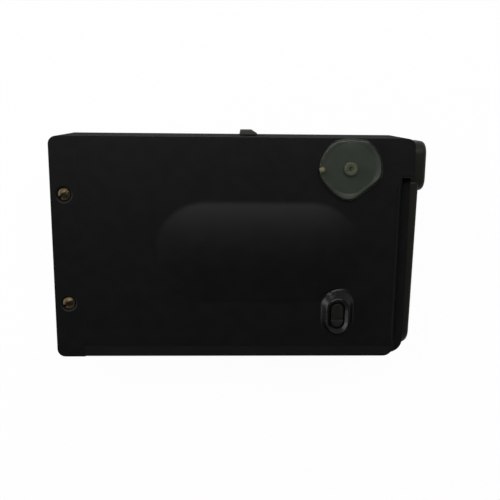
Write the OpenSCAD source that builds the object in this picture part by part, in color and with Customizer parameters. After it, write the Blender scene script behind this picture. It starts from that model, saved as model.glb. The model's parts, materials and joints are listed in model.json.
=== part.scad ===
// Wireless flash trigger: a flat housing on a camera-shoe foot, with a folding side antenna,
// a sensor lens, a hooded test button, a power slide, a sync socket and two cells inside.
// Millimetres. X runs along the housing, Y across it and Z up, out of the front face.
// The origin is the middle of the foot's underside.

/* [Housing] */
// Width of the housing along X
body_w = 80.2; // [79:0.2:96]
// Height of the housing along Y
body_h = 50.2; // [49:0.2:60]
// Wall thickness of the rear shell
wall = 1.8; // [1.5:0.1:2.2]
// Corner radius of the housing seen from the front
corner_r = 1.8; // [1:0.1:2.4]
// Rounding along the outer edges
edge_r = 0.5; // [0.4:0.1:1.6]
// Seam between the housing pieces
seam = 0.15; // [0.1:0.05:0.25]
// Width of the step along the antenna side
step_w = 2.5; // [1.5:0.1:3]
// Corner radius at the lower end of the step
step_r = 3; // [2:0.1:4]
// Height of the shoulder under the step, from the back
shoulder_h = 17.2; // [14:0.1:17.6]
// Corner radius of the shoulder at the antenna's tip
shoulder_r = 3.2; // [2:0.1:4]
// Width of the bare plate recess in the back
plate_w = 18; // [12:0.5:19]
// Depth of the plate recess
plate_sunk = 0.3; // [0.2:0.05:0.4]

/* [Front panel] */
// Thickness of the front panel
panel_t = 1.8; // [1.5:0.1:2.2]
// Width of the shell rim below the panel
rim_w = 2.5; // [2.2:0.1:3.2]
// Height of the crowned swelling over the cells
pillow_rise = 1.1; // [0.8:0.1:1.5]
// Margin of the swelling around the cells
pillow_margin = 0.8; // [0.5:0.1:1.2]

/* [End bar] */
// Width of the bar that locks the panel
bar_w = 6.35; // [6:0.05:7.5]
// Thickness of the bar
bar_t = 4.4; // [3.8:0.1:5]
// Distance between the two bar screws
bar_screw_pitch = 24.8; // [20:0.2:32]
// Distance of the bar screws from the left side
bar_screw_inset = 3; // [2.8:0.1:3.4]
// Diameter of a bar screw's head
bar_head_d = 2.8; // [2.4:0.1:3.2]
// Diameter of a bar screw's shank
bar_shank_d = 1.6; // [1.4:0.1:2]

/* [Sensor] */
// Diameter of the lens over its rounded corners
lens_d = 14.1; // [13.4:0.1:14.8]
// Distance from the lens axis to its top flat
lens_flat = 6.55; // [6:0.05:6.7]
// Distance from the lens axis to its lower right flat
lens_low = 6.1; // [5.5:0.1:6.5]
// Distance from the lens axis to its lower left flat
lens_left = 6.7; // [5.5:0.1:6.7]
// Distance of the lens from the right side
lens_inset = 14.25; // [13:0.25:18]
// Height of the lens above the face
lens_rise = 1.9; // [1.4:0.1:2.6]
// Width of the ring nut under the lens
lens_ring_w = 1; // [0.8:0.1:1.4]
// Diameter of the sensor lamp
lamp_d = 3; // [3:0.1:4]

/* [Test button] */
// Width of the key
key_w = 3; // [2.8:0.1:4.2]
// Length of the key
key_l = 5.8; // [5:0.1:7]
// Travel of the key
key_travel = 0.5; // [0.3:0.05:0.7]
// Height of the collar above the face
collar_rise = 1.6; // [1.2:0.1:2]
// Depth of the key below the collar's rim
key_sunk = 0.9; // [0.6:0.1:1.2]
// Wall of the collar around the key, at its crest
collar_wall = 0.85; // [0.8:0.05:1.6]
// Distance of the key from the right side
key_inset = 16.1; // [15:0.1:18]
// Side of the key switch
tact_w = 4.5; // [4:0.1:5]

/* [Power slide] */
// Width of the slide knob
knob_w = 4.1; // [3.6:0.1:5]
// Height of the knob above the top side
knob_rise = 1.3; // [1:0.1:2]
// Travel of the knob
knob_travel = 2; // [1.5:0.1:2.5]
// Place of the knob along X at rest
knob_x = 3.55; // [0:0.05:6]

/* [Antenna] */
// Length of the antenna knuckle along the side
knuckle_d = 11.5; // [10:0.1:12]
// Thickness of the knuckle
knuckle_t = 4.1; // [3.4:0.1:4.6]
// Thickness of the blade
blade_t = 2.5; // [2.2:0.1:3]
// Taper of the blade towards its tip
blade_taper = 0.4; // [0:0.1:0.6]
// Width of the blade
blade_w = 10.8; // [9:0.1:11.4]
// Distance of the pivot from the top side
pivot_drop = 6.6; // [6.3:0.1:8]
// Height of the pivot above the shell's back
pivot_rise = 8.4; // [8:0.1:9]
// Diameter of the pivot
pivot_d = 3.2; // [2.8:0.1:3.6]
// Height of the block that holds the pivot
block_h = 8.6; // [8.4:0.1:10.5]

/* [Cells and board] */
// Diameter of a cell
cell_d = 10.5; // [10:0.1:11]
// Length of a cell
cell_l = 44.5; // [43:0.25:46]
// Place of the cells across the housing
cells_y = -0.5; // [-0.8:0.1:-0.2]
// Distance of the middle of the cells from the right side
cells_inset = 34.45; // [33.5:0.05:35.5]
// Thickness of the circuit board
board_t = 1.6; // [1.2:0.1:2]
// Height of the posts under the board
board_rise = 2.4; // [2:0.1:3]

/* [Shoe foot] */
// Width of the foot plate
foot_w = 18.6; // [18:0.1:18.6]
// Length of the foot plate
foot_l = 18; // [17:0.1:18.5]
// Thickness of the foot plate
foot_t = 2; // [1.8:0.05:2]
// Gap left for the rails of the shoe
rail_gap = 2.1; // [2:0.05:2.6]
// Diameter of the neck above the foot plate
neck_d = 12; // [11.4:0.1:12.3]
// Diameter of the lock wheel
wheel_d = 26; // [24:0.5:30]
// Thickness of the lock wheel
wheel_t = 3.8; // [3.2:0.1:4.5]
// Thickness of the clamp plate
clamp_t = 1; // [0.8:0.05:1.2]
// Diameter of the contact pin
pin_d = 2.2; // [2:0.1:2.6]
// How far the contact pin stands out of the foot
pin_out = 0.5; // [0.3:0.05:0.7]

/* [Sync socket] */
// Bore of the sync socket
socket_bore_d = 3.6; // [3.5:0.02:3.7]
// Wall behind the socket's bore
socket_end = 0.7; // [0.5:0.1:1]
// Distance of the socket from the left side
socket_inset = 16; // [15.5:0.25:20]

/* [Hidden] */
$fn = 64;

// Named fits
run_gap = 0.05;
slip = 0.1;
clear = 0.3;
thread_gap = 0.02;
eps = 0.02;

// Heights of the shoe stack
wheel_gap = 0.2;
clamp_z = foot_t + rail_gap;
wheel_z = clamp_z + clamp_t + wheel_gap;
z_b = wheel_z + wheel_t + wheel_gap;

// Heights of the housing stack
tray_floor = 1.2;
cell_headroom = 0.7;
body_d = wall + board_rise + board_t + tray_floor + cell_d + cell_headroom + panel_t;
z_f = z_b + body_d;
z_in = z_f - panel_t;
board_z = z_b + wall + board_rise;
board_top = board_z + board_t;
cell_z = board_top + tray_floor + cell_d / 2;

// Sides of the housing
x_l = -body_w / 2;
x_r = body_w / 2;
y_b = -body_h / 2;
y_t = body_h / 2;
x_bar = x_l + bar_w;
x_side = x_r - step_w;
x_wall = x_side - wall;
y_rim = y_b + rim_w;
fillet_r = min(edge_r, corner_r - 0.1);

// Cells and tray
cells_x = x_r - cells_inset;
cell_gap = 0.05;
tray_wall = 1.2;
contact_t = 0.3;
spring_room = 2.2;
tray_in_l = cell_l + contact_t + spring_room;
tray_in_w = 2 * cell_d + 3 * cell_gap + 0.4;
tray_l = tray_in_l + 2 * tray_wall;
tray_w = tray_in_w + 2 * tray_wall;
tray_y0 = cells_y - tray_w / 2;
tray_y1 = cells_y + tray_w / 2;
tray_h = tray_floor + 0.55 * cell_d;
cell_y = [cells_y + (cell_d + cell_gap) / 2, cells_y - (cell_d + cell_gap) / 2];
cell_nub_d = 3.8;
cell_nub = 1;
tab_w = 1.6;
peg_d = 1.8;
peg_x = [cells_x - tray_l / 4, cells_x + tray_l / 4];

// Swelling over the cells: a ball of this radius swept along the cells
pillow_l = cell_l + 2 * pillow_margin;
pillow_w = 2 * cell_d + 2 * pillow_margin;
pillow_r = (pow(pillow_w / 2, 2) + pow(pillow_rise, 2)) / (2 * pillow_rise);

// Sensor
lens_x = x_r - lens_inset;
lens_y = y_t - lens_flat - run_gap;
lens_ball = 40;
lens_ring_t = 1.1;
lens_stem_d = 2 * (lens_flat - wall - clear - lens_ring_w);
lens_skirt = panel_t + lens_ring_t + 0.3;
lamp_l = 5.3;
lamp_dimple = 0.4;
lamp_top = z_f + lens_rise - 0.8;
lamp_base = lamp_top - lamp_l;
lamp_rim_d = lamp_d + 0.8;
lamp_leg_d = 0.5;
lamp_leg_pitch = 1.27;
spacer_d = lamp_rim_d + 0.4;
gasket_in = lens_stem_d / 2 + 0.3;
gasket_w = 0.7;
gasket_t = 0.35;

// Test button
key_x = x_r - key_inset;
key_y = tray_y0 - 0.35 - tact_w / 2;
key_gap = 0.2;
key_flange = 0.7;
key_flange_t = 0.8;
key_top = z_f + collar_rise - key_sunk;
key_bottom = z_in - 0.15 - key_flange_t;
rim_l = key_l + 2 * key_gap + 2 * collar_wall;
rim_t = key_w + 2 * key_gap + 2 * collar_wall;
collar_bevel = collar_wall - 0.1;
collar_draft = 0.5;
collar_side = 1.15;
hood_l = 2.4;
tact_h = 3.5;
plunger_d = 2.4;
plunger_sunk = 1.5;

// Power slide
knob_z = board_top + 2.2;
knob_h = 4.2;
stem_w = 2.6;
lever_w = 1.6;
switch_w = 9;
switch_t = 4;
switch_h = 4.4;
switch_y = y_t - wall - 0.4 - switch_t;
knob_lift = 0.15;

// Antenna
pivot_y = y_t - pivot_drop;
pivot_z = z_b + pivot_rise;
block_y = y_t - block_h;
washer_t = 0.3;
washer_d = 2 * (pivot_d / 2 + 1.7);
pivot_boss_d = washer_d + 0.2;
blade_x = x_r + washer_t;
blade_top = pivot_y - 3.2;
blade_tip = y_b + 0.15;
blade_tip_r = 4;
blade_top_r = 0.8;
tip_round = blade_t - 0.4;
knuckle_round = 1.1;
knuckle_r = 3;
pivot_hole = 2.4;
hollow_y = pivot_y - pivot_boss_d / 2 - wall;
pivot_in = x_wall - 2.7;
clip_t = 0.6;
clip_x = x_wall - 0.3 - clip_t;
clip_neck_d = pivot_d - 0.6;
clip_d = pivot_d + 1.6;
element_d = 1;
element_x = blade_x + (blade_t - blade_taper) / 2;
leaf_t = 0.3;

// Board and what stands on it
board_x0 = x_l + 8.5;
board_x1 = x_wall - 0.9;
board_y = y_t - wall - 0.6;
board_screw_d = 1.8;
board_head_d = 3;
post_d = 4.2;
post_inset = 4.2;
post_y = board_y - post_inset;
post_x = board_x0 + post_d / 2;
post_at = [[post_x, post_y], [post_x, -post_y], [board_x1 - post_inset, -post_y]];
part_gap = 0.5;
can_l = 16;
can_h = 2.6;
can_x = key_x - tact_w / 2 - 5 * part_gap - can_l;
chip_w = 7;
chip_h = 1.4;
chip_x = cells_x + cell_d;
crystal_l = 5;
crystal_w = 3.2;
crystal_h = 1.2;
crystal_x = chip_x + chip_w / 2 + crystal_l / 2 + 2 * part_gap;
strip_y = (tray_y1 + board_y) / 2;
thyristor_d = 4.8;
thyristor_h = 4.6;
thyristor_x = knob_x + knob_travel / 2 - switch_w / 2 - part_gap - thyristor_d / 2;
capacitor_d = 6.3;
capacitor_h = 7.7;
capacitor_x = thyristor_x - thyristor_d / 2 - part_gap - capacitor_d / 2;

// Bar and its screws
bar_screw_x = x_l + bar_screw_inset;
bar_screw_y = [bar_screw_pitch / 2, -bar_screw_pitch / 2];
bar_sink_d = bar_head_d + 1.3;
bar_sink = 0.9;
bar_head_h = 1.1;
bar_slot_w = 0.34;
bar_slot = 0.5;
bar_slot_turn = 35;
bar_shank_l = bar_t - bar_sink + 7;
bar_boss_d = bar_shank_d + 3.2;
tongue_l = 1.6;
tongue_t = 0.9;
tongue_end = 4;

// Panel hooks on the right wall
hook_w = 4;
hook_t = 1.2;
hook_drop = 2.6;
hook_barb = 1;
hook_y = [y_t - 4.2, y_b + 7];

// Shoe foot
neck_flat = neck_d * 0.44;
foot_screw_d = 1.6;
foot_head_d = 2.8;
foot_screw_l = 6.5;
foot_screw_at = [for (sx = [-1, 1], sy = [-1, 1]) [sx * neck_d * 0.27, sy * neck_d * 0.27]];
clamp_sleeve_d = neck_d + 2 * slip + 2.6;
clamp_sleeve_h = wheel_t - 1;
wheel_bore_d = clamp_sleeve_d + 2 * slip;
knurls = 36;
knurl_d = 1.3;
pin_flange_d = pin_d + 1;
pin_flange_t = 0.8;
pin_bore_d = pin_flange_d + 2 * slip;
spring_d = pin_flange_d - 0.3;
spring_wire = 0.36;
spring_turns = 6;
spring_z0 = foot_t + pin_flange_t;
spring_z1 = board_z;

// Sync socket
socket_x = x_l + socket_inset;
socket_w = 6.4;
socket_h = 6.2;
socket_l = tray_y0 - part_gap - y_b - wall;
socket_z = board_top + socket_h / 2;
bush_d = 5.8;
bush_out = 1.9;
socket_depth = bush_out + wall + socket_l - socket_end;
nut_d = 8.4;
nut_t = 1.5;

// Flat rectangle with rounded corners, centred
module rounded_rect(w, h, r) {
  square([w - 2 * r, h], center = true);
  square([w, h - 2 * r], center = true);
  for (sx = [-1, 1], sy = [-1, 1])
    translate([sx * (w / 2 - r), sy * (h / 2 - r)])
      circle(r);
}

// Flat stadium along Y, centred
module stadium(l, w) {
  square([w, l - w], center = true);
  for (sy = [-1, 1])
    translate([0, sy * (l - w) / 2])
      circle(w / 2);
}

// Cylinder along +X from a point
module rod_x(p, d, l) {
  translate(p)
    rotate([0, 90, 0])
      cylinder(d = d, h = l);
}

// Cylinder along +Y from a point
module rod_y(p, d, l) {
  translate(p)
    rotate([-90, 0, 0])
      cylinder(d = d, h = l);
}

// Block from its lower corner to its upper corner
module block(a, b) {
  translate(a)
    cube(b - a);
}

// Part of the plan cut away by the side step
module step_plan() {
  difference() {
    translate([x_side - step_r, y_b - 1])
      square([step_w + step_r + 1, block_y - y_b + 1]);
    translate([x_side - 2 * step_r, y_b + step_r])
      square([2 * step_r, body_h]);
    translate([x_side - step_r, y_b + step_r])
      circle(step_r);
  }
}

// Cut of the side step above its shoulder
module step_cut() {
  translate([0, 0, z_b + shoulder_h])
    linear_extrude(body_d)
      step_plan();
}

// Quarter outline of a rounded corner, turned about its axis
module turned_corner(r) {
  rotate_extrude()
    intersection() {
      rounded_rect(2 * r, body_d, fillet_r);
      translate([0, -body_d])
        square([2 * r, 2 * body_d]);
    }
}

// Cut that gives the corner at the antenna's tip its own radius
module shoulder_cut() {
  translate([x_r - shoulder_r, y_b + shoulder_r, z_b + body_d / 2])
    difference() {
      translate([0, -shoulder_r - 1, -body_d])
        cube([shoulder_r + 1, shoulder_r + 1, 2 * body_d]);
      turned_corner(shoulder_r);
    }
}

// Box with rounded corners and rounded edges
module rounded_box() {
  z = z_b + body_d / 2;
  for (sx = [-1, 1], sy = [-1, 1])
    translate([sx * (body_w / 2 - corner_r), sy * (body_h / 2 - corner_r), z])
      turned_corner(corner_r);
  translate([corner_r - body_w / 2, 0, z])
    rotate([90, 0, 90])
      linear_extrude(body_w - 2 * corner_r)
        rounded_rect(body_h, body_d, fillet_r);
  translate([0, body_h / 2 - corner_r, z])
    rotate([90, 0, 0])
      linear_extrude(body_h - 2 * corner_r)
        rounded_rect(body_w, body_d, fillet_r);
}

// Closed outside of the housing
module housing_blank() {
  difference() {
    rounded_box();
    step_cut();
    shoulder_cut();
  }
}

// Solids that the shell keeps inside its hollow
module shell_inside() {
  for (y = bar_screw_y)
    translate([bar_screw_x, y, z_b])
      cylinder(d = bar_boss_d, h = body_d - bar_t);
  for (p = post_at)
    translate([p[0], p[1], z_b])
      cylinder(d = post_d, h = board_z - z_b);
  block([x_bar, y_b, z_in - 1.8], [x_r, y_rim + 1, z_in]);
  block([x_bar, y_b, z_in - eps], [x_r, y_rim, z_f]);
}

// Rear shell with the neck of the foot
module rear_shell() {
  color("#181a19")
    difference() {
      union() {
        difference() {
          housing_blank();
          difference() {
            union() {
              block([x_l + wall, y_b + wall, z_b + wall], [x_wall, y_t - wall, z_f + 1]);
              block([x_wall - 1, y_b + wall, z_b + wall], [x_r - wall, hollow_y, z_b + shoulder_h - wall]);
            }
            shell_inside();
          }
          block([x_bar, y_rim, z_in], [x_r + 1, y_t + 1, z_f + 1]);
          block([x_l - 1, y_b - 1, z_f - bar_t], [x_bar, y_t + 1, z_f + 1]);
        }
        rod_x([x_side - eps, pivot_y, pivot_z], pivot_boss_d, step_w + eps);
        neck();
      }
      translate([0, 0, foot_t - 1])
        cylinder(d = pin_bore_d, h = z_b + wall);
      for (p = foot_screw_at)
        translate([p[0], p[1], foot_t - 1])
          cylinder(d = foot_screw_d + 2 * thread_gap, h = foot_screw_l - foot_t + 1.3);
      for (y = bar_screw_y)
        translate([bar_screw_x, y, z_f - bar_sink - bar_shank_l - 0.4])
          cylinder(d = bar_shank_d + 2 * thread_gap, h = bar_shank_l + 2);
      for (p = post_at)
        translate([p[0], p[1], z_b + wall - 0.6])
          cylinder(d = board_screw_d + 2 * thread_gap, h = board_rise + 1);
      rod_x([x_wall - 1, pivot_y, pivot_z], pivot_d + 2 * run_gap, step_w + wall + 2);
      block([knob_x - stem_w / 2 - clear, y_t - wall - 1, knob_z - stem_w / 2 - clear],
        [knob_x + stem_w / 2 + knob_travel + clear, y_t + 1, knob_z + stem_w / 2 + clear]);
      rod_y([socket_x, y_b - 1, socket_z], bush_d + 2 * slip, wall + 2);
      translate([x_l + plate_w / 2 + 4.5, 0, z_b - 1])
        linear_extrude(1 + plate_sunk)
          rounded_rect(plate_w, body_h - 16, corner_r);
      for (y = hook_y)
        block([x_wall - 1, y - hook_w / 2 - 0.2, z_in - hook_drop - 0.2],
          [x_wall + hook_barb, y + hook_w / 2 + 0.2, z_in - hook_drop + 1.2]);
    }
}

// Neck with two flats that key the clamp plate
module neck() {
  intersection() {
    translate([0, 0, foot_t])
      cylinder(d = neck_d, h = z_b - foot_t + wall);
    translate([-neck_d, -neck_flat, 0])
      cube([2 * neck_d, 2 * neck_flat, z_f]);
  }
}

// Ball of the swelling's radius swept along the cells, dropped by d
module swelling(d) {
  c = z_f + pillow_rise - pillow_r - d;
  span = pillow_l - pillow_w;
  intersection() {
    union() {
      for (s = [-1, 1])
        translate([cells_x + s * span / 2, cells_y, c])
          sphere(pillow_r, $fn = 180);
      rod_x([cells_x - span / 2, cells_y, c], 2 * pillow_r, span, $fn = 180);
    }
    block([cells_x - pillow_l, cells_y - pillow_w, z_f - d - eps],
      [cells_x + pillow_l, cells_y + pillow_w, z_f + pillow_rise + 1]);
  }
}

// Collar around the key: sloping sides, and a longer slope towards the middle of the panel
module collar() {
  low_l = rim_l + collar_draft + hood_l;
  low_w = rim_t + 2 * collar_side;
  translate([key_x, key_y, z_f - eps])
    hull() {
      translate([0, (hood_l - collar_draft) / 2, 0])
        linear_extrude(eps)
          stadium(low_l, low_w, $fn = 32);
      translate([0, 0, collar_rise])
        linear_extrude(eps)
          stadium(rim_l, rim_t, $fn = 32);
    }
}

// Bevel that leads from the collar's crest down to the key
module collar_bevel_cut() {
  l = key_l + 2 * key_gap;
  w = key_w + 2 * key_gap;
  b = collar_bevel;
  translate([key_x, key_y, z_f + collar_rise - b]) {
    for (s = [-1, 1])
      translate([0, s * (l - w) / 2, 0])
        cylinder(d1 = w, d2 = w + 4 * b, h = 2 * b);
    translate([0, (l - w) / 2, 0])
      rotate([90, 0, 0])
        linear_extrude(l - w)
          polygon([[-w / 2, 0], [w / 2, 0], [w / 2 + 2 * b, 2 * b], [-w / 2 - 2 * b, 2 * b]]);
  }
}

// Front panel with the swelling, the collar, the locking tongue and two hooks
module front_panel() {
  color("#1b1d1c")
    difference() {
      union() {
        intersection() {
          housing_blank();
          block([x_bar + seam, y_rim + seam, z_in], [x_r + 1, y_t + 1, z_f + 1]);
        }
        swelling(0);
        collar();
        block([x_bar - tongue_l, y_b + tongue_end, z_in], [x_bar + 2, y_t - tongue_end, z_in + tongue_t]);
        for (y = hook_y) {
          block([x_wall - 0.2 - hook_t, y - hook_w / 2, z_in - hook_drop],
            [x_wall - 0.2, y + hook_w / 2, z_in + eps]);
          block([x_wall - 0.3, y - hook_w / 2, z_in - hook_drop],
            [x_wall + hook_barb - 0.3, y + hook_w / 2, z_in - hook_drop + 0.9]);
        }
      }
      difference() {
        swelling(panel_t);
        block([key_x - rim_t / 2, key_y - rim_l / 2, z_b], [key_x + rim_t / 2, key_y + rim_l / 2, z_f]);
      }
      translate([lens_x, lens_y, z_in - 1])
        cylinder(d = lens_stem_d + 2 * run_gap, h = panel_t + 3);
      translate([lens_x, lens_y, z_f - gasket_t])
        difference() {
          cylinder(r = gasket_in + gasket_w, h = panel_t);
          translate([0, 0, -1])
            cylinder(r = gasket_in, h = panel_t + 2);
        }
      translate([key_x, key_y, z_in - 1])
        linear_extrude(panel_t + collar_rise + 2)
          stadium(key_l + 2 * key_gap, key_w + 2 * key_gap);
      collar_bevel_cut();
    }
}

// Bar that locks the panel's tongue at the left end
module end_bar() {
  color("#191b1a")
    difference() {
      intersection() {
        rounded_box();
        block([x_l - 1, y_b - 1, z_f - bar_t], [x_bar, y_t + 1, z_f + 1]);
      }
      block([x_bar - tongue_l - slip, y_b + tongue_end - slip, z_f - bar_t - 1],
        [x_bar + 1, y_t - tongue_end + slip, z_in + tongue_t + run_gap]);
      for (y = bar_screw_y)
        translate([bar_screw_x, y, 0]) {
          translate([0, 0, z_f - bar_t - 1])
            cylinder(d = bar_shank_d + 2 * slip, h = bar_t + 2);
          translate([0, 0, z_f - bar_sink])
            cylinder(d1 = bar_head_d + 2 * slip, d2 = bar_sink_d, h = bar_sink);
        }
    }
}

// One bar screw with a domed, slotted head
module bar_screw() {
  r = bar_head_d / 2;
  dome = bar_head_h - 0.35;
  ball = (r * r + dome * dome) / (2 * dome);
  difference() {
    union() {
      translate([0, 0, -bar_shank_l])
        cylinder(d = bar_shank_d, h = bar_shank_l + eps);
      intersection() {
        cylinder(r = r, h = bar_head_h);
        translate([0, 0, bar_head_h - ball])
          sphere(ball, $fn = 96);
      }
    }
    rotate([0, 0, bar_slot_turn])
      translate([-bar_head_d, -bar_slot_w / 2, bar_head_h - bar_slot])
        cube([2 * bar_head_d, bar_slot_w, bar_slot + 1]);
  }
}

// Two brass screws of the end bar
module bar_screws() {
  color("#a8823c")
    for (y = bar_screw_y)
      translate([bar_screw_x, y, z_f - bar_sink])
        bar_screw();
}

// Disc with one flat along the top side and two flats below, which leave a soft point
module lens_plan() {
  difference() {
    circle(d = lens_d);
    for (flat = [[90, lens_flat], [226, lens_left], [309, lens_low]])
      rotate([0, 0, flat[0]])
        translate([flat[1], -lens_d])
          square([lens_d, 2 * lens_d]);
  }
}

// Clear lens with a domed head on a stem
module sensor_lens() {
  color("#4a5046")
    translate([lens_x, lens_y, z_f])
      difference() {
        union() {
          intersection() {
            linear_extrude(lens_rise)
              lens_plan();
            translate([0, 0, lens_rise - lens_ball])
              sphere(lens_ball, $fn = 96);
          }
          translate([0, 0, -lens_skirt])
            cylinder(d = lens_stem_d, h = lens_skirt + eps);
        }
        translate([0, 0, -lens_skirt - 1])
          cylinder(d = lamp_d + 0.8, h = lamp_top - z_f + lens_skirt + 1.3);
      }
}

// Seal under the lens head
module lens_gasket() {
  color("#101010")
    translate([lens_x, lens_y, z_f - gasket_t])
      difference() {
        cylinder(r = gasket_in + gasket_w - run_gap, h = gasket_t);
        translate([0, 0, -1])
          cylinder(r = gasket_in + run_gap, h = gasket_t + 2);
      }
}

// Ring nut that holds the lens from inside
module lens_ring() {
  color("#2a2c2b")
    translate([lens_x, lens_y, z_in - lens_ring_t])
      difference() {
        cylinder(d = lens_stem_d + 2 * lens_ring_w, h = lens_ring_t);
        translate([0, 0, -1])
          cylinder(d = lens_stem_d + 2 * thread_gap, h = lens_ring_t + 2);
      }
}

// Sensor lamp with a dimple in its flat tip, a rim and two legs
module sensor_lamp() {
  color("#6f7050")
    translate([lens_x, lens_y, lamp_base]) {
      difference() {
        cylinder(d = lamp_d, h = lamp_l);
        translate([0, 0, lamp_l - lamp_dimple])
          cylinder(d1 = lamp_dimple / 2, d2 = 3 * lamp_dimple, h = lamp_dimple + eps);
      }
      cylinder(d = lamp_rim_d, h = 1);
      for (s = [-1, 1])
        translate([s * lamp_leg_pitch / 2, 0, board_z - 0.6 - lamp_base])
          cylinder(d = lamp_leg_d, h = lamp_base - board_z + 0.6 + eps);
    }
}

// Tube that carries the lamp above the board
module lamp_spacer() {
  color("#242625")
    translate([lens_x, lens_y, board_top])
      difference() {
        cylinder(d = spacer_d, h = lamp_base - board_top);
        translate([0, 0, -1])
          cylinder(d = lamp_leg_pitch + lamp_leg_d + 0.5, h = body_d);
      }
}

// Key with a flange that keeps it behind the panel
module test_button() {
  color("#222120")
    translate([key_x, key_y, 0]) {
      translate([0, 0, key_bottom])
        linear_extrude(key_top - key_bottom)
          stadium(key_l, key_w);
      translate([0, 0, key_bottom])
        linear_extrude(key_flange_t)
          stadium(key_l + 2 * key_flange, key_w + 2 * key_flange);
    }
}

// Body of the key switch on the board
module tact_switch() {
  color("#2b2b2b")
    translate([key_x, key_y, board_top])
      difference() {
        translate([-tact_w / 2, -tact_w / 2, 0])
          cube([tact_w, tact_w, tact_h]);
        translate([0, 0, tact_h - plunger_sunk - key_travel - 0.3])
          cylinder(d = plunger_d + 2 * slip, h = tact_h);
      }
}

// Long plunger of the key switch
module tact_plunger() {
  color("#d8d4c8")
    translate([key_x, key_y, board_top + tact_h - plunger_sunk])
      cylinder(d = plunger_d, h = key_bottom - board_top - tact_h + plunger_sunk);
}

// Thumb knob of the power slide, with a stem through the shell
module power_knob() {
  h = knob_rise - knob_lift;
  color("#414140")
    difference() {
      union() {
        translate([knob_x - knob_w / 2, y_t + knob_lift, knob_z - knob_h / 2])
          linear_extrude(knob_h)
            polygon([[0, 0], [knob_w, 0], [knob_w, 0.3 * h], [0.68 * knob_w, h], [0.05 * knob_w, h]]);
        block([knob_x - stem_w / 2, y_t - wall - 0.2, knob_z - stem_w / 2],
          [knob_x + stem_w / 2, y_t + knob_lift + eps, knob_z + stem_w / 2]);
      }
      block([knob_x - lever_w / 2 - run_gap, y_t - wall - 1, knob_z - lever_w / 2 - run_gap],
        [knob_x + lever_w / 2 + run_gap, y_t - 0.6, knob_z + lever_w / 2 + run_gap]);
    }
}

// Slide switch on the board behind the knob
module switch_body() {
  color("#9a9c9e")
    difference() {
      block([knob_x + knob_travel / 2 - switch_w / 2, switch_y, board_top],
        [knob_x + knob_travel / 2 + switch_w / 2, switch_y + switch_t, board_top + switch_h]);
      block([knob_x - lever_w / 2 - clear, switch_y + switch_t - 1.6, knob_z - lever_w / 2 - slip],
        [knob_x + lever_w / 2 + knob_travel + clear, switch_y + switch_t + 1, knob_z + lever_w / 2 + slip]);
    }
}

// Lever of the slide switch
module switch_lever() {
  color("#1a1a1a")
    block([knob_x - lever_w / 2, switch_y + switch_t - 1.4, knob_z - lever_w / 2],
      [knob_x + lever_w / 2, y_t - 0.7, knob_z + lever_w / 2]);
}

// Folding antenna: knuckle and blade in one moulding
module antenna_blade() {
  color("#1c1b19")
    difference() {
      union() {
        knuckle();
        intersection() {
          translate([blade_x, 0, pivot_z])
            rotate([90, 0, 90])
              linear_extrude(blade_t)
                blade_plan();
          translate([blade_x, blade_tip, z_b])
            linear_extrude(body_d)
              blade_side();
        }
      }
      rod_x([blade_x - 1, pivot_y, pivot_z], pivot_d + 2 * thread_gap, pivot_hole + 1);
      rod_y([element_x, blade_tip + 5, pivot_z], element_d + 2 * run_gap, pivot_y - blade_tip - 5);
    }
}

// Cross-section of a flat block whose two upper edges are rounded
module round_topped(w, h, r) {
  translate([-w / 2, 0])
    square([w, h - r]);
  translate([r - w / 2, 0])
    square([w - 2 * r, h]);
  for (s = [-1, 1])
    translate([s * (w / 2 - r), h - r])
      circle(r);
}

// Knuckle: a block with round corners, as wide as the blade, with a rounded outer edge
module knuckle() {
  span_y = knuckle_d - 2 * knuckle_r;
  span_z = blade_w - 2 * knuckle_r;
  translate([blade_x, pivot_y, pivot_z])
    rotate([90, 0, 90]) {
      for (sy = [-1, 1], sz = [-1, 1])
        translate([sy * span_y / 2, sz * span_z / 2, 0])
          rotate_extrude()
            intersection() {
              round_topped(2 * knuckle_r, knuckle_t, knuckle_round);
              square(knuckle_t + knuckle_r);
            }
      translate([0, span_z / 2, 0])
        rotate([90, 0, 0])
          linear_extrude(span_z)
            round_topped(knuckle_d, knuckle_t, knuckle_round);
      translate([-span_y / 2, 0, 0])
        rotate([90, 0, 90])
          linear_extrude(span_y)
            round_topped(blade_w, knuckle_t, knuckle_round);
    }
}

// Outline of the blade in X and Y, from its tip: the outer corner of the tip is rounded
module blade_side() {
  l = blade_top - blade_tip;
  tip_x = blade_t - blade_taper;
  difference() {
    union() {
      square([blade_t - tip_round, l]);
      translate([0, tip_round])
        square([blade_t, l - tip_round]);
      translate([blade_t - tip_round, tip_round])
        circle(tip_round);
    }
    polygon([[tip_x, -1], [tip_x, 0], [blade_t, l], [blade_t + 1, l], [blade_t + 1, -1]]);
  }
}

// Outline of the blade in Y and Z: rounded at the tip, square shoulders at the knuckle
module blade_plan() {
  l = blade_top - blade_tip;
  translate([blade_tip + l / 2, 0])
    intersection() {
      union() {
        rounded_rect(l, blade_w, blade_tip_r);
        translate([l / 4, 0])
          rounded_rect(l / 2, blade_w, blade_top_r);
      }
      square([l, blade_w], center = true);
    }
}

// Radiating wire inside the blade
module antenna_element() {
  color("#b07a3a")
    rod_y([element_x, blade_tip + 5.2, pivot_z], element_d,
      pivot_y - pivot_d / 2 - thread_gap - blade_tip - 5.2);
}

// Pivot of the antenna, grooved for its clip
module antenna_pivot() {
  color("#b5b6b4")
    difference() {
      rod_x([pivot_in, pivot_y, pivot_z], pivot_d, blade_x + pivot_hole - 0.1 - pivot_in);
      difference() {
        rod_x([clip_x - run_gap, pivot_y, pivot_z], pivot_d + 1, clip_t + 2 * run_gap);
        rod_x([clip_x - 1, pivot_y, pivot_z], clip_neck_d, clip_t + 2);
      }
    }
}

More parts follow.
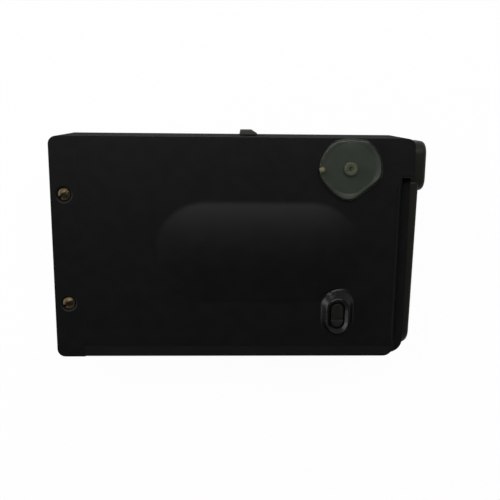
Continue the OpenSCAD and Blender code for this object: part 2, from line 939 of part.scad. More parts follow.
// Friction washer between the block and the knuckle
module pivot_washer() {
  color("#c8c8c4")
    difference() {
      rod_x([x_r, pivot_y, pivot_z], washer_d, washer_t);
      rod_x([x_r - 1, pivot_y, pivot_z], pivot_d + 2 * run_gap, washer_t + 2);
    }
}

// Clip that keeps the pivot in the wall
module pivot_clip() {
  color("#8d8e8c")
    difference() {
      rod_x([clip_x, pivot_y, pivot_z], clip_d, clip_t);
      rod_x([clip_x - 1, pivot_y, pivot_z], clip_neck_d + 2 * run_gap, clip_t + 2);
      translate([clip_x - 1, pivot_y - clip_neck_d / 2 + 0.2, pivot_z - clip_d])
        cube([clip_t + 2, clip_neck_d - 0.4, clip_d]);
    }
}

// Leaf on the board that feeds the pivot's inner end
module antenna_contact() {
  x1 = pivot_in - 0.1;
  color("#c9a24a") {
    block([x1 - 2.4, pivot_y - 1.5, board_top], [x1, pivot_y + 1.5, board_top + leaf_t]);
    block([x1 - leaf_t, pivot_y - 1.5, board_top], [x1, pivot_y + 1.5, pivot_z + pivot_d / 2]);
  }
}

// Circuit board with its holes
module main_board() {
  color("#1f5a3a")
    difference() {
      block([board_x0, -board_y, board_z], [board_x1, board_y, board_top]);
      for (p = post_at)
        translate([p[0], p[1], board_z - 1])
          cylinder(d = board_screw_d + 2 * slip, h = board_t + 2);
      for (s = [-1, 1])
        translate([lens_x + s * lamp_leg_pitch / 2, lens_y, board_z - 1])
          cylinder(d = lamp_leg_d + 2 * slip, h = board_t + 2);
      for (x = peg_x)
        translate([x, cells_y, board_z - 1])
          cylinder(d = peg_d + 2 * run_gap, h = board_t + 2);
      tab_slots(board_z - 1, board_top + 1);
    }
}

// Slots for the tabs of the cell contacts
module tab_slots(z0, z1) {
  for (s = [-1, 1], y = cell_y)
    translate([cells_x + s * (tray_in_l / 2 - contact_t / 2), y, (z0 + z1) / 2])
      cube([contact_t + 2 * slip, tab_w + 2 * slip, z1 - z0], center = true);
}

// Three screws that hold the board on its posts
module board_screws() {
  color("#8f9194")
    for (p = post_at)
      translate([p[0], p[1], board_top])
        difference() {
          union() {
            translate([0, 0, -board_t - board_rise + 0.2])
              cylinder(d = board_screw_d, h = board_t + board_rise);
            cylinder(d = board_head_d, h = 1);
          }
          for (a = [0, 90])
            rotate([0, 0, a])
              translate([-0.9, -0.16, 0.55])
                cube([1.8, 0.32, 1]);
        }
}

// Shielded radio module in the strip below the tray
module radio_can() {
  color("#b9bab8")
    block([can_x, part_gap - board_y, board_top], [can_x + can_l, tray_y0 - part_gap, board_top + can_h]);
}

// Controller chip under the board
module control_chip() {
  color("#161616")
    block([chip_x - chip_w / 2, cells_y - chip_w / 2, board_z - chip_h],
      [chip_x + chip_w / 2, cells_y + chip_w / 2, board_z]);
}

// Crystal can under the board, beside the chip
module crystal_can() {
  color("#c4c5c3")
    translate([crystal_x, cells_y, board_z - crystal_h])
      linear_extrude(crystal_h)
        rotate([0, 0, 90])
          stadium(crystal_l, crystal_w);
}

// Capacitor standing in the strip above the tray
module capacitor() {
  color("#2c2f55")
    translate([capacitor_x, strip_y, board_top])
      cylinder(d = capacitor_d, h = capacitor_h);
}

// Trigger thyristor beside the slide switch
module thyristor() {
  color("#1c1c1c")
    translate([thyristor_x, strip_y, board_top])
      intersection() {
        cylinder(d = thyristor_d, h = thyristor_h);
        translate([-thyristor_d, -thyristor_d * 0.3, 0])
          cube([2 * thyristor_d, thyristor_d, thyristor_h]);
      }
}

// Tray for the two cells, pegged into the board
module battery_tray() {
  z0 = board_top;
  color("#20211f")
    difference() {
      union() {
        difference() {
          block([cells_x - tray_l / 2, tray_y0, z0], [cells_x + tray_l / 2, tray_y1, z0 + tray_h]);
          block([cells_x - tray_in_l / 2, tray_y0 + tray_wall, z0 + tray_floor],
            [cells_x + tray_in_l / 2, tray_y1 - tray_wall, z0 + tray_h + 1]);
        }
        for (x = peg_x)
          translate([x, cells_y, board_z + 0.2])
            cylinder(d = peg_d, h = board_t - 0.2 + eps);
      }
      tab_slots(z0 - 1, z0 + tray_floor + 1);
    }
}

// Two cells, laid head to tail
module battery_cells() {
  color("#3d4a6b")
    for (i = [0, 1]) {
      s = i == 0 ? 1 : -1;
      translate([cells_x + s * (tray_in_l / 2 - contact_t), cell_y[i], cell_z])
        rotate([0, -s * 90, 0]) {
          cylinder(d = cell_nub_d, h = cell_nub + eps);
          translate([0, 0, cell_nub])
            cylinder(d = cell_d - 2 * cell_gap, h = cell_l - cell_nub);
        }
    }
}

// Plates and bowed leaves at the ends of the cells
module battery_contacts() {
  r = spring_room;
  t = contact_t;
  color("#cfd0cc")
    for (i = [0, 1], s = [-1, 1])
      translate([cells_x + s * tray_in_l / 2, cell_y[i], 0])
        mirror([s > 0 ? 1 : 0, 0, 0]) {
          block([0, -3.6, board_top + tray_floor], [t, 3.6, cell_z + 3.6]);
          block([0, -tab_w / 2, board_z - 0.5], [t, tab_w / 2, board_top + tray_floor + eps]);
          if ((i == 0) == (s < 0))
            translate([0, 2, cell_z])
              rotate([90, 0, 0])
                linear_extrude(4)
                  polygon([[t - eps, -3.2], [r, -0.4], [r, 0.4], [t - eps, 3.2], [t - eps, 2.7],
                    [r - t, 0.2], [r - t, -0.2], [t - eps, -2.7]]);
        }
}

// Sync socket with its threaded bush
module sync_socket() {
  color("#1d1d1d")
    difference() {
      union() {
        block([socket_x - socket_w / 2, y_b + wall, board_top],
          [socket_x + socket_w / 2, y_b + wall + socket_l, board_top + socket_h]);
        rod_y([socket_x, y_b - bush_out, socket_z], bush_d, bush_out + wall + eps);
      }
      rod_y([socket_x, y_b - bush_out - 1, socket_z], socket_bore_d, socket_depth + 1);
    }
}

// Nut of the sync socket
module socket_nut() {
  color("#b4b5b3")
    difference() {
      translate([socket_x, y_b, socket_z])
        rotate([90, 0, 0])
          cylinder(d = nut_d, h = nut_t, $fn = 6);
      rod_y([socket_x, y_b - nut_t - 1, socket_z], bush_d + 2 * thread_gap, nut_t + 2);
    }
}

// Metal foot plate that slides into a camera shoe
module foot_plate() {
  c = 1.6;
  color("#b2b4b6")
    difference() {
      linear_extrude(foot_t)
        polygon([[-foot_w / 2, -foot_l / 2], [foot_w / 2, -foot_l / 2], [foot_w / 2, foot_l / 2 - c],
          [foot_w / 2 - c, foot_l / 2], [c - foot_w / 2, foot_l / 2], [-foot_w / 2, foot_l / 2 - c]]);
      translate([0, 0, -1])
        cylinder(d = pin_d + 2 * run_gap, h = foot_t + 2);
      for (p = foot_screw_at)
        translate([p[0], p[1], 0]) {
          translate([0, 0, -1])
            cylinder(d = foot_screw_d + 2 * slip, h = foot_t + 2);
          translate([0, 0, -eps])
            cylinder(d1 = foot_head_d + 2 * slip, d2 = foot_screw_d + 2 * slip, h = 1);
        }
    }
}

// Four countersunk screws through the foot plate into the neck
module foot_screws() {
  color("#8a8c8f")
    for (p = foot_screw_at)
      translate([p[0], p[1], 0.05])
        difference() {
          union() {
            cylinder(d1 = foot_head_d, d2 = foot_screw_d, h = 0.9);
            cylinder(d = foot_screw_d, h = foot_screw_l);
          }
          for (a = [0, 90])
            rotate([0, 0, a])
              translate([-0.8, -0.15, -1])
                cube([1.6, 0.3, 1.4]);
        }
}

// Knurled wheel that drives the clamp plate
module lock_wheel() {
  color("#232524")
    translate([0, 0, wheel_z])
      difference() {
        cylinder(d = wheel_d, h = wheel_t);
        translate([0, 0, -1])
          cylinder(d = wheel_bore_d, h = wheel_t + 2);
        for (i = [0 : knurls - 1])
          rotate([0, 0, i * 360 / knurls])
            translate([wheel_d / 2 + knurl_d * 0.18, 0, -1])
              cylinder(d = knurl_d, h = wheel_t + 2, $fn = 24);
      }
}

// Plate that clamps the rails, with a sleeve keyed to the neck
module clamp_plate() {
  color("#26282a")
    translate([0, 0, clamp_z])
      difference() {
        union() {
          translate([-foot_w / 2, -foot_l / 2, 0])
            cube([foot_w, foot_l, clamp_t]);
          cylinder(d = clamp_sleeve_d, h = clamp_t + clamp_sleeve_h);
        }
        intersection() {
          translate([0, 0, -1])
            cylinder(d = neck_d + 2 * slip, h = wheel_t + 4);
          translate([-neck_d, -neck_flat - slip, -2])
            cube([2 * neck_d, 2 * (neck_flat + slip), wheel_t + 6]);
        }
      }
}

// Sprung centre contact of the foot
module contact_pin() {
  color("#c79f4b")
    translate([0, 0, -pin_out]) {
      translate([0, 0, 0.3])
        cylinder(d = pin_d, h = pin_out + foot_t - 0.3 + eps);
      cylinder(d1 = pin_d - 0.6, d2 = pin_d, h = 0.3 + eps);
      translate([0, 0, pin_out + foot_t])
        cylinder(d = pin_flange_d, h = pin_flange_t);
    }
}

// Coil between the contact pin and the board
module contact_spring() {
  steps = 12;
  sides = 6;
  n = spring_turns * steps;
  w = spring_wire / 2;
  r = spring_d / 2 - w;
  rise = spring_z1 - spring_z0 - 2 * w - 0.04;
  pts = [for (i = [0 : n], j = [0 : sides - 1])
    let (a = 360 * i / steps, b = 360 * j / sides, q = r + w * cos(b))
      [q * cos(a), q * sin(a), spring_z0 + w + 0.02 + rise * i / n + w * sin(b)]];
  walls = [for (i = [0 : n - 1], j = [0 : sides - 1])
    let (k = (j + 1) % sides)
      [i * sides + j, i * sides + k, (i + 1) * sides + k, (i + 1) * sides + j]];
  caps = [[for (j = [0 : sides - 1]) sides - 1 - j], [for (j = [0 : sides - 1]) n * sides + j]];
  color("#cfcfcb")
    polyhedron(pts, concat(walls, caps), convexity = 10);
}

rear_shell();
front_panel();
end_bar();
bar_screws();
sensor_lens();
lens_gasket();
lens_ring();
sensor_lamp();
lamp_spacer();
test_button();
tact_switch();
tact_plunger();
power_knob();
switch_body();
switch_lever();
antenna_blade();
antenna_element();
antenna_pivot();
pivot_washer();
pivot_clip();
antenna_contact();
main_board();
board_screws();
radio_can();
control_chip();
crystal_can();
capacitor();
thyristor();
battery_tray();
battery_cells();
battery_contacts();
sync_socket();
socket_nut();
foot_plate();
foot_screws();
lock_wheel();
clamp_plate();
contact_pin();
contact_spring();
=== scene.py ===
"""Looks of a wireless flash trigger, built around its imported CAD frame.

Shapes are written in millimetres in the CAD frame and turned into metres when a mesh is made.
"""
import json
import math

import bpy
import numpy as np
from mathutils import Matrix, Vector
from mathutils.geometry import delaunay_2d_cdt


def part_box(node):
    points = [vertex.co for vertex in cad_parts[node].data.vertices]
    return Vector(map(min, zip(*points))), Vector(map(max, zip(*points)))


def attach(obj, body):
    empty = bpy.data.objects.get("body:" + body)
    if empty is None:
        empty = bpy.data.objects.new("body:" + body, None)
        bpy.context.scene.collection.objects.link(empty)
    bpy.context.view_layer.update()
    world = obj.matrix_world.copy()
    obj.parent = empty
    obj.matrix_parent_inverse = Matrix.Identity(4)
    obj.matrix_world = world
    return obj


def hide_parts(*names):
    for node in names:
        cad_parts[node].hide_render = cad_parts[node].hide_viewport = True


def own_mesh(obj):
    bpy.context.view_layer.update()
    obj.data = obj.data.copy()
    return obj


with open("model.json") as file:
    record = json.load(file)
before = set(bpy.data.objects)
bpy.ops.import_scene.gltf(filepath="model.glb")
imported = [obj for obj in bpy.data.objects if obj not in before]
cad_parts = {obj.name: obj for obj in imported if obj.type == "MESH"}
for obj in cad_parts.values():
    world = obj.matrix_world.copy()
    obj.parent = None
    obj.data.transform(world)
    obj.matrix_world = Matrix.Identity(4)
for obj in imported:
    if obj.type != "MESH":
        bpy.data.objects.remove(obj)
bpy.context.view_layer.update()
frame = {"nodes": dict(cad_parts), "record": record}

MM = 0.001
NODES = frame["nodes"]


def box_mm(node):
    """Lowest and highest corner of a CAD node, in millimetres."""
    low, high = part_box(node)
    return low / MM, high / MM


# Sizes read from the frame
BAR_LOW, BAR_HIGH = box_mm("end_bar")
X_L, X_BAR, X_R = BAR_LOW.x, BAR_HIGH.x, box_mm("rear_shell")[1].x
Y_B, Y_T = BAR_LOW.y, BAR_HIGH.y
FACE_Z = BAR_HIGH.z

# Sizes of the housing that its boxes don't give
SEAM = 0.015
RIM_W = 2.5
STEP_W = 2.5
BLOCK_H = 8.6
PANEL_T = 1.8
CORNER_R = 1.8
CORNER_STEPS = 12
EDGE_W = 0.14
EDGE_SLOPE = 45
X_SIDE = X_R - STEP_W
BLOCK_Y = Y_T - BLOCK_H
PANEL_Z = FACE_Z - PANEL_T
PARTING = 0.06


# Flat geometry
QUARTER = (math.pi / 8, math.pi / 4, math.pi * 3 / 8, math.pi / 2)
FLAT_HOLD = 0.12
SHARP_CORNER = math.radians(45)


def arc(cx, cy, r, a0, a1, n):
    """Points on an arc, angles in degrees, both ends included."""
    return [(cx + r * math.cos(math.radians(a0 + (a1 - a0) * i / n)),
             cy + r * math.sin(math.radians(a0 + (a1 - a0) * i / n))) for i in range(n + 1)]


def circle(cx, cy, r, n):
    """Points round a circle, counter-clockwise."""
    return arc(cx, cy, r, 0, 360, n)[:-1]


def stadium(cx, cy, half_l, r, along_y, n):
    """Stadium of half length half_l over its rounded ends and radius r, counter-clockwise."""
    k = half_l - r
    if along_y:
        return arc(cx, cy + k, r, 0, 180, n) + arc(cx, cy - k, r, 180, 360, n)
    return arc(cx + k, cy, r, -90, 90, n) + arc(cx - k, cy, r, 90, 270, n)


def closed(ring):
    """A ring as a line that ends where it starts."""
    return ring + ring[:1]


def stadium_distance(x, y, cx, cy, half_l, r, along_y):
    """Signed distance to a stadium, negative inside."""
    dx, dy = x - cx, y - cy
    if along_y:
        dx, dy = dy, dx
    dx = max(abs(dx) - (half_l - r), 0.0)
    return math.hypot(dx, dy) - r


def line_distance(x, y, points):
    """Distance to an open polyline."""
    best = 1e9
    for (ax, ay), (bx, by) in zip(points, points[1:]):
        ux, uy = bx - ax, by - ay
        t = ((x - ax) * ux + (y - ay) * uy) / (ux * ux + uy * uy)
        t = min(1.0, max(0.0, t))
        best = min(best, math.hypot(x - ax - t * ux, y - ay - t * uy))
    return best


def fillet_drop(d, width, slope=90):
    """How far an edge, rounded over a width up to a slope, lies below the face
    at distance d from its side."""
    if d >= width:
        return 0.0
    r = width / math.sin(math.radians(slope))
    return r - math.sqrt(max(0.0, r * r - (width - d) ** 2))


def fillet_steps(r, n=6):
    """Distances from the side at which a rounded edge needs a line, and one that holds the flat."""
    return [r * (1 - math.cos(math.pi / 2 * i / n)) for i in range(1, n + 1)] + [r + FLAT_HOLD]


def smooth_max(a, b, k):
    """The larger of two heights, blended where they differ by less than k."""
    h = max(k - abs(a - b), 0.0) / k
    return max(a, b) + h * h * k / 4


def inside(loop, pts):
    """Which of the points lie inside a closed loop."""
    poly = np.array(loop)
    x, y = pts[:, 0][:, None], pts[:, 1][:, None]
    x0, y0 = poly[:, 0], poly[:, 1]
    x1, y1 = np.roll(x0, -1), np.roll(y0, -1)
    spans = (y0 > y) != (y1 > y)
    with np.errstate(divide="ignore", invalid="ignore"):
        cross = x < (x1 - x0) * (y - y0) / (y1 - y0) + x0
    return (np.sum(spans & cross, axis=1) % 2) == 1


def triangulate(loops, lines):
    """Triangles of a flat region bounded by loops, the first of which is the outside."""
    verts, edges = [], []
    for pts, is_loop in [(l, True) for l in loops] + [(l, False) for l in lines]:
        start = len(verts)
        verts += [Vector(p) for p in pts]
        edges += [(start + i, start + i + 1) for i in range(len(pts) - 1)]
        if is_loop:
            edges.append((len(verts) - 1, start))
    co, _, faces = delaunay_2d_cdt(verts, edges, [], 0, 1e-5)[:3]
    mid = np.array([np.mean([co[i][:] for i in f], axis=0) for f in faces])
    keep = inside(loops[0], mid)
    for hole in loops[1:]:
        keep &= ~inside(hole, mid)
    tris = []
    for f, k in zip(faces, keep):
        if k:
            a, b, c = (co[i] for i in f)
            area = (b - a).cross(c - a)
            if abs(area) > 1e-9:
                tris.append(tuple(f) if area > 0 else tuple(reversed(f)))
    return [tuple(c) for c in co], tris


def boundary_loops(tris):
    """Loops of directed edges that belong to one triangle."""
    edges = {(f[i], f[(i + 1) % 3]) for f in tris for i in range(3)}
    follow = {a: b for a, b in edges if (b, a) not in edges}
    loops = []
    while follow:
        a = next(iter(follow))
        loop = []
        while a in follow:
            loop.append(a)
            a = follow.pop(a)
        loops.append(loop)
    return loops


def loop_area(pts):
    """Area inside a loop, negative if it runs clockwise."""
    return sum(a[0] * b[1] - b[0] * a[1] for a, b in zip(pts, pts[1:] + pts[:1])) / 2


def outward(pts):
    """Outward unit normals at the points of a counter-clockwise loop, lengthened at corners."""
    found = []
    for i, p in enumerate(pts):
        e0 = Vector(p) - Vector(pts[i - 1])
        e1 = Vector(pts[(i + 1) % len(pts)]) - Vector(p)
        n0, n1 = Vector((e0.y, -e0.x)).normalized(), Vector((e1.y, -e1.x)).normalized()
        n = (n0 + n1).normalized()
        found.append(n / max(0.5, n.dot(n1)))
    return found


def held(pts, reach):
    """For each point of a loop, the number of a sharp corner within reach, or else its own."""
    at = [Vector(p) for p in pts]
    edges = [b - a for a, b in zip(at, at[1:] + at[:1])]
    sharp = [i for i, e in enumerate(edges) if edges[i - 1].angle(e) > SHARP_CORNER]
    return [next((c for c in sharp if (at[c] - p).length < reach), i) for i, p in enumerate(at)]


# Meshes
class Build:
    """Vertices in millimetres and faces, gathered into one object."""

    def __init__(self):
        self.verts, self.faces, self.slots = [], [], []

    def add(self, verts, faces, slots):
        """Adds faces that number their own vertices, each face with its slot."""
        start = len(self.verts)
        self.verts += [tuple(v) for v in verts]
        self.faces += [tuple(start + i for i in f) for f in faces]
        self.slots += slots

    def plate(self, loops, lines, height, skirt, paint=None, wall=0):
        """Surface over a flat region, with walls down to the skirt's levels and a flat underside.
        The skirt is a list of (offset outwards, z); holes go straight down to the last level.
        Paint gives the slot of the surface at a point, and wall that of the rest."""
        co, tris = triangulate(loops, lines)
        used = sorted({i for f in tris for i in f})
        number = {i: n for n, i in enumerate(used)}
        verts = [(*co[i], height(*co[i])) for i in used]
        tris = [tuple(number[i] for i in f) for f in tris]
        faces = list(tris)
        slots = [0] * len(tris)
        if paint:
            slots = [paint(*[sum(verts[i][k] for i in f) / 3 for k in (0, 1)]) for f in tris]
        rims = []
        for loop in boundary_loops(tris):
            flat = [verts[i][:2] for i in loop]
            outer = loop_area(flat) > 0
            normals = outward(flat)
            above = loop
            for offset, z in skirt if outer else skirt[-1:]:
                move = offset if outer else 0.0
                made = {}
                below = []
                for i in held(flat, -2 * move):
                    if i not in made:
                        made[i] = len(verts)
                        n = normals[i]
                        verts.append((flat[i][0] + n.x * move, flat[i][1] + n.y * move, z))
                    below.append(made[i])
                for i in range(len(loop)):
                    j = (i + 1) % len(loop)
                    faces.append(tuple(dict.fromkeys((above[j], above[i], below[i], below[j]))))
                above = below
            rims.append((outer, list(dict.fromkeys(above))))
        rims.sort(key=lambda r: not r[0])
        low, low_tris = triangulate([[verts[i][:2] for i in r] for _, r in rims], [])
        order = [i for _, r in rims for i in r]
        near = {}
        for i in order:
            near[tuple(round(c, 4) for c in verts[i][:2])] = i
        found = [near.get(tuple(round(c, 4) for c in p)) for p in low]
        for f in low_tris:
            ids = [found[i] for i in f]
            if None not in ids:
                faces.append(tuple(reversed(ids)))
        self.add(verts, faces, slots + [wall] * (len(faces) - len(slots)))

    def loft(self, rings, cap_start=True, cap_end=True, slot=0):
        """Quads between rings of equally many points; each ring is seen counter-clockwise from
        the end that the rings run towards. The slot is one number, or one for each band."""
        n = len(rings[0])
        bands = slot if isinstance(slot, list) else [slot] * (len(rings) - 1)
        verts = [p for ring in rings for p in ring]
        faces, slots = [], []
        for k, band in enumerate(bands):
            a, b = k * n, (k + 1) * n
            faces += [(a + i, a + (i + 1) % n, b + (i + 1) % n, b + i) for i in range(n)]
            slots += [band] * n
        if cap_start:
            faces.append(tuple(reversed(range(n))))
            slots.append(bands[0])
        if cap_end:
            faces.append(tuple(range(len(verts) - n, len(verts))))
            slots.append(bands[-1])
        self.add(verts, faces, slots)

    def lathe(self, profile, place, n, slot):
        """Surface of revolution of (radius, height) pairs about the Z axis of a placement."""
        rings = [[place @ Vector((*p, h)) for p in circle(0, 0, r, n)] for r, h in profile]
        self.loft(rings, slot=slot)

    def make(self, name, body, materials, replaces, sharp):
        """Makes the piece, on its body and in its slot, in place of the CAD nodes it replaces."""
        mesh = bpy.data.meshes.new(name)
        mesh.from_pydata([Vector(v) * MM for v in self.verts], [], self.faces)
        for material in materials:
            mesh.materials.append(material)
        mesh.polygons.foreach_set("material_index", self.slots)
        mesh.polygons.foreach_set("use_smooth", [True] * len(self.faces))
        mesh.set_sharp_from_angle(angle=math.radians(sharp))
        mesh.update()
        piece = bpy.data.objects.new(name, mesh)
        bpy.context.scene.collection.objects.link(piece)
        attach(piece, body)
        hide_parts(*replaces)
        return piece


# Materials
NOISE_LOW, NOISE_HIGH = 0.3, 0.7
MOTTLE = 0.08


class Shader:
    """A Principled material and short ways to add nodes to it."""

    def __init__(self, name):
        self.material = bpy.data.materials.new(name)
        self.material.use_nodes = True
        self.tree = self.material.node_tree
        self.bsdf = self.tree.nodes["Principled BSDF"]
        coords = self.tree.nodes.new("ShaderNodeTexCoord")
        self.place = coords.outputs["Object"]

    def link(self, a, b):
        self.tree.links.new(a, b)

    def noise(self, size_mm, detail=2.0, roughness=0.5, stretch=None):
        """Noise with features of about size_mm."""
        node = self.tree.nodes.new("ShaderNodeTexNoise")
        node.inputs["Scale"].default_value = 1 / (size_mm * MM)
        node.inputs["Detail"].default_value = detail
        node.inputs["Roughness"].default_value = roughness
        vector = self.place
        if stretch:
            mapping = self.tree.nodes.new("ShaderNodeMapping")
            mapping.inputs["Scale"].default_value = stretch
            self.link(vector, mapping.inputs["Vector"])
            vector = mapping.outputs["Vector"]
        self.link(vector, node.inputs["Vector"])
        return node.outputs["Fac"]

    def spread(self, value, low, high):
        """Noise value stretched to a range."""
        node = self.tree.nodes.new("ShaderNodeMapRange")
        node.inputs["From Min"].default_value = NOISE_LOW
        node.inputs["From Max"].default_value = NOISE_HIGH
        node.inputs["To Min"].default_value = low
        node.inputs["To Max"].default_value = high
        self.link(value, node.inputs["Value"])
        return node.outputs["Result"]

    def mix(self, factor, a, b):
        """Mix of two colours by a socket."""
        node = self.tree.nodes.new("ShaderNodeMix")
        node.data_type = "RGBA"
        self.link(factor, node.inputs[0])
        node.inputs[6].default_value = (*a, 1)
        node.inputs[7].default_value = (*b, 1)
        return node.outputs[2]

    def bump(self, heights):
        """Chain of bumps, each (height socket, depth in mm, strength)."""
        normal = None
        for height, depth_mm, strength in heights:
            node = self.tree.nodes.new("ShaderNodeBump")
            node.inputs["Strength"].default_value = strength
            node.inputs["Distance"].default_value = depth_mm * MM
            self.link(height, node.inputs["Height"])
            if normal:
                self.link(normal, node.inputs["Normal"])
            normal = node.outputs["Normal"]
        self.link(normal, self.bsdf.inputs["Normal"])

    def set(self, **values):
        """Sets or links the shader's inputs, named with _ for a space."""
        for name, value in values.items():
            socket = self.bsdf.inputs[name.replace("_", " ")]
            if isinstance(value, bpy.types.NodeSocket):
                self.link(value, socket)
            else:
                socket.default_value = value


def scaled(colour, factor):
    """A colour, lighter or darker by a factor."""
    return tuple(c * factor for c in colour)


def moulded(name, colour, rough, grain_mm=0.28, grain=0.012, specular=0.1):
    """Moulded plastic or rubber: fine eroded grain, slow mottling, patches that are rubbed smoother."""
    s = Shader(name)
    slow = s.noise(9.0, 4.0)
    fine = s.noise(grain_mm, 3.0, 0.6)
    s.set(Base_Color=s.mix(s.spread(slow, 0.0, 1.0), scaled(colour, 1 - MOTTLE), scaled(colour, 1 + MOTTLE)),
          Roughness=s.spread(s.noise(2.6, 3.0), rough - 0.03, rough + 0.03),
          Specular_IOR_Level=specular)
    s.bump([(fine, grain, 0.55), (s.noise(grain_mm * 7, 2.0), grain * 1.5, 0.2)])
    return s.material


def metal(name, colour, rough, tarnish=None, brushed=None, grain_mm=0.15):
    """Metal with fine scratches, drawn out along one axis when brushed, and patches of tarnish."""
    s = Shader(name)
    tarnish = tarnish or scaled(colour, 0.7)
    patches = s.noise(1.4, 5.0, 0.62)
    lines = s.noise(grain_mm, 2.0, 0.5, stretch=brushed)
    s.set(Base_Color=s.mix(s.spread(patches, 0.0, 1.0), tarnish, colour),
          Metallic=1.0,
          Roughness=s.spread(lines, rough - 0.07, rough + 0.09))
    s.bump([(lines, 0.004, 0.35)])
    return s.material


PLASTIC = (0.0023, 0.0023, 0.0026)
MATERIALS = {
    # The shell's black is 2.8 times the panel's: painted light that lifts the shaded groove and shoulder;
    # its low specular keeps grazing walls dull.
    "shell_plastic": moulded("shell_plastic", scaled(PLASTIC, 2.8), 0.8, specular=0.03),
    "panel_plastic": moulded("panel_plastic", PLASTIC, 0.45, specular=0.14),
    # Lighter, warmer black than the panel's: painted reflected light on the ear and blade edge.
    "antenna_plastic": moulded("antenna_plastic", (0.0132, 0.0123, 0.0106), 0.45, 0.4, 0.006),
    "knob_plastic": moulded("knob_plastic", (0.042, 0.042, 0.04), 0.45, 0.2, 0.008),
    "key_rubber": moulded("key_rubber", (0.0085, 0.0077, 0.0068), 0.6, 0.15, 0.01),
    "seal_rubber": moulded("seal_rubber", (0.012, 0.012, 0.012), 0.65, 0.12, 0.01),
    "inner_plastic": moulded("inner_plastic", (0.02, 0.021, 0.02), 0.48, 0.35, 0.008),
    "chip_black": moulded("chip_black", (0.022, 0.022, 0.022), 0.55, 0.1, 0.01),
    "cap_sleeve": moulded("cap_sleeve", (0.03, 0.04, 0.12), 0.3, 1.2, 0.01),
    "cell_sleeve": moulded("cell_sleeve", (0.09, 0.12, 0.22), 0.3, 1.5, 0.01),
    "plunger_white": moulded("plunger_white", (0.7, 0.68, 0.6), 0.4, 0.5, 0.005),
    "brass": metal("brass", (0.62, 0.44, 0.18), 0.3, (0.4, 0.27, 0.11)),
    "steel": metal("steel", (0.56, 0.56, 0.57), 0.32),
    "bright_steel": metal("bright_steel", (0.74, 0.74, 0.73), 0.18),
    "foot_steel": metal("foot_steel", (0.58, 0.58, 0.59), 0.3, None, (1.0, 0.03, 1.0)),
    "wheel_metal": metal("wheel_metal", (0.035, 0.035, 0.036), 0.36, (0.02, 0.02, 0.021)),
    "clamp_metal": metal("clamp_metal", (0.045, 0.045, 0.047), 0.4, (0.025, 0.025, 0.027), (0.03, 1.0, 1.0)),
}


def lens_material(name, colour, rough, alpha):
    """Moulded lens plastic, clear or frosted, with slow haze and faint rubbing."""
    s = Shader(name)
    haze = s.noise(3.0, 4.0)
    s.set(Base_Color=s.mix(s.spread(haze, 0.0, 1.0), scaled(colour, 0.78), scaled(colour, 1.22)),
          Roughness=s.spread(s.noise(0.6, 4.0), rough - 0.04, rough + 0.06),
          Alpha=alpha)
    s.bump([(s.noise(1.8, 2.0), 0.01, 0.2)])
    return s.material


def lamp_material():
    """Warm clear resin of the sensor lamp."""
    s = Shader("lamp_clear")
    s.set(Base_Color=s.mix(s.spread(s.noise(0.8, 3.0), 0.0, 1.0), (0.17, 0.175, 0.11), (0.21, 0.215, 0.15)),
          Roughness=s.spread(s.noise(0.3, 2.0), 0.3, 0.4))
    s.bump([(s.noise(0.25, 2.0), 0.01, 0.3)])
    return s.material


def board_material():
    """Lacquered board with fine copper runs under the lacquer."""
    s = Shader("board_green")
    brick = s.tree.nodes.new("ShaderNodeTexBrick")
    brick.inputs["Scale"].default_value = 420
    brick.inputs["Mortar Size"].default_value = 0.06
    s.link(s.place, brick.inputs["Vector"])
    runs = brick.outputs["Fac"]
    s.set(Base_Color=s.mix(runs, (0.012, 0.1, 0.045), (0.03, 0.2, 0.08)),
          Roughness=s.spread(s.noise(1.0, 3.0), 0.25, 0.38))
    s.bump([(runs, 0.03, 0.5)])
    return s.material


MATERIALS["lens_clear"] = lens_material("lens_clear", (0.022, 0.026, 0.02), 0.2, 0.3)
COLLAR_PLASTIC = moulded("collar_plastic", PLASTIC, 0.26, specular=0.15)
# Much darker than the brass slot: painted shade, so the screws reflect the white surroundings dimly.
SCREW_BRASS = metal("screw_brass", (0.075, 0.056, 0.034), 0.4, (0.05, 0.036, 0.022), None, 0.4)
LENS_BACK = lens_material("lens_back", (0.022, 0.027, 0.02), 0.5, 1.0)
# A little lighter than the back: a painted glow along the lens rim.
LENS_BEVEL = lens_material("lens_bevel", (0.028, 0.032, 0.026), 0.5, 1.0)
# Light warm colour of the lens nub: a painted glint on the lens's left edge.
LENS_GLINT = lens_material("lens_nub_painted_glint", (0.085, 0.075, 0.036), 0.65, 1.0)
LAMP_DIE = lens_material("lamp_die", (0.06, 0.06, 0.03), 0.4, 1.0)
MATERIALS["lamp_clear"] = lamp_material()
MATERIALS["board_green"] = board_material()

for part in frame["record"]["subparts"]:
    node = NODES[part["node"]]
    node.data.materials.clear()
    node.data.materials.append(MATERIALS[part["material_slot"]])


def soften(name, width_mm):
    """Small rounding on the sharp edges of a CAD node."""
    node = NODES[name]
    weld = node.modifiers.new("weld", "WELD")
    weld.merge_threshold = 1e-7
    flat = node.modifiers.new("flat", "DECIMATE")
    flat.decimate_type = "DISSOLVE"
    flat.angle_limit = math.radians(0.5)
    bevel = node.modifiers.new("bevel", "BEVEL")
    bevel.width = width_mm * MM
    bevel.segments = 2
    bevel.angle_limit = math.radians(35)
    shade = node.modifiers.new("shade", "WEIGHTED_NORMAL")
    shade.weight = 100


SOFT_EDGES = {"rear_shell": 0.12, "foot_plate": 0.2, "clamp_plate": 0.15, "socket_nut": 0.15,
              "sync_socket": 0.1, "power_knob": 0.15, "contact_pin": 0.1, "foot_screws": 0.08}
for name, width in SOFT_EDGES.items():
    soften(name, width)


def mats(*slots):
    """Materials of the record's slots."""
    return [MATERIALS[s] for s in slots]


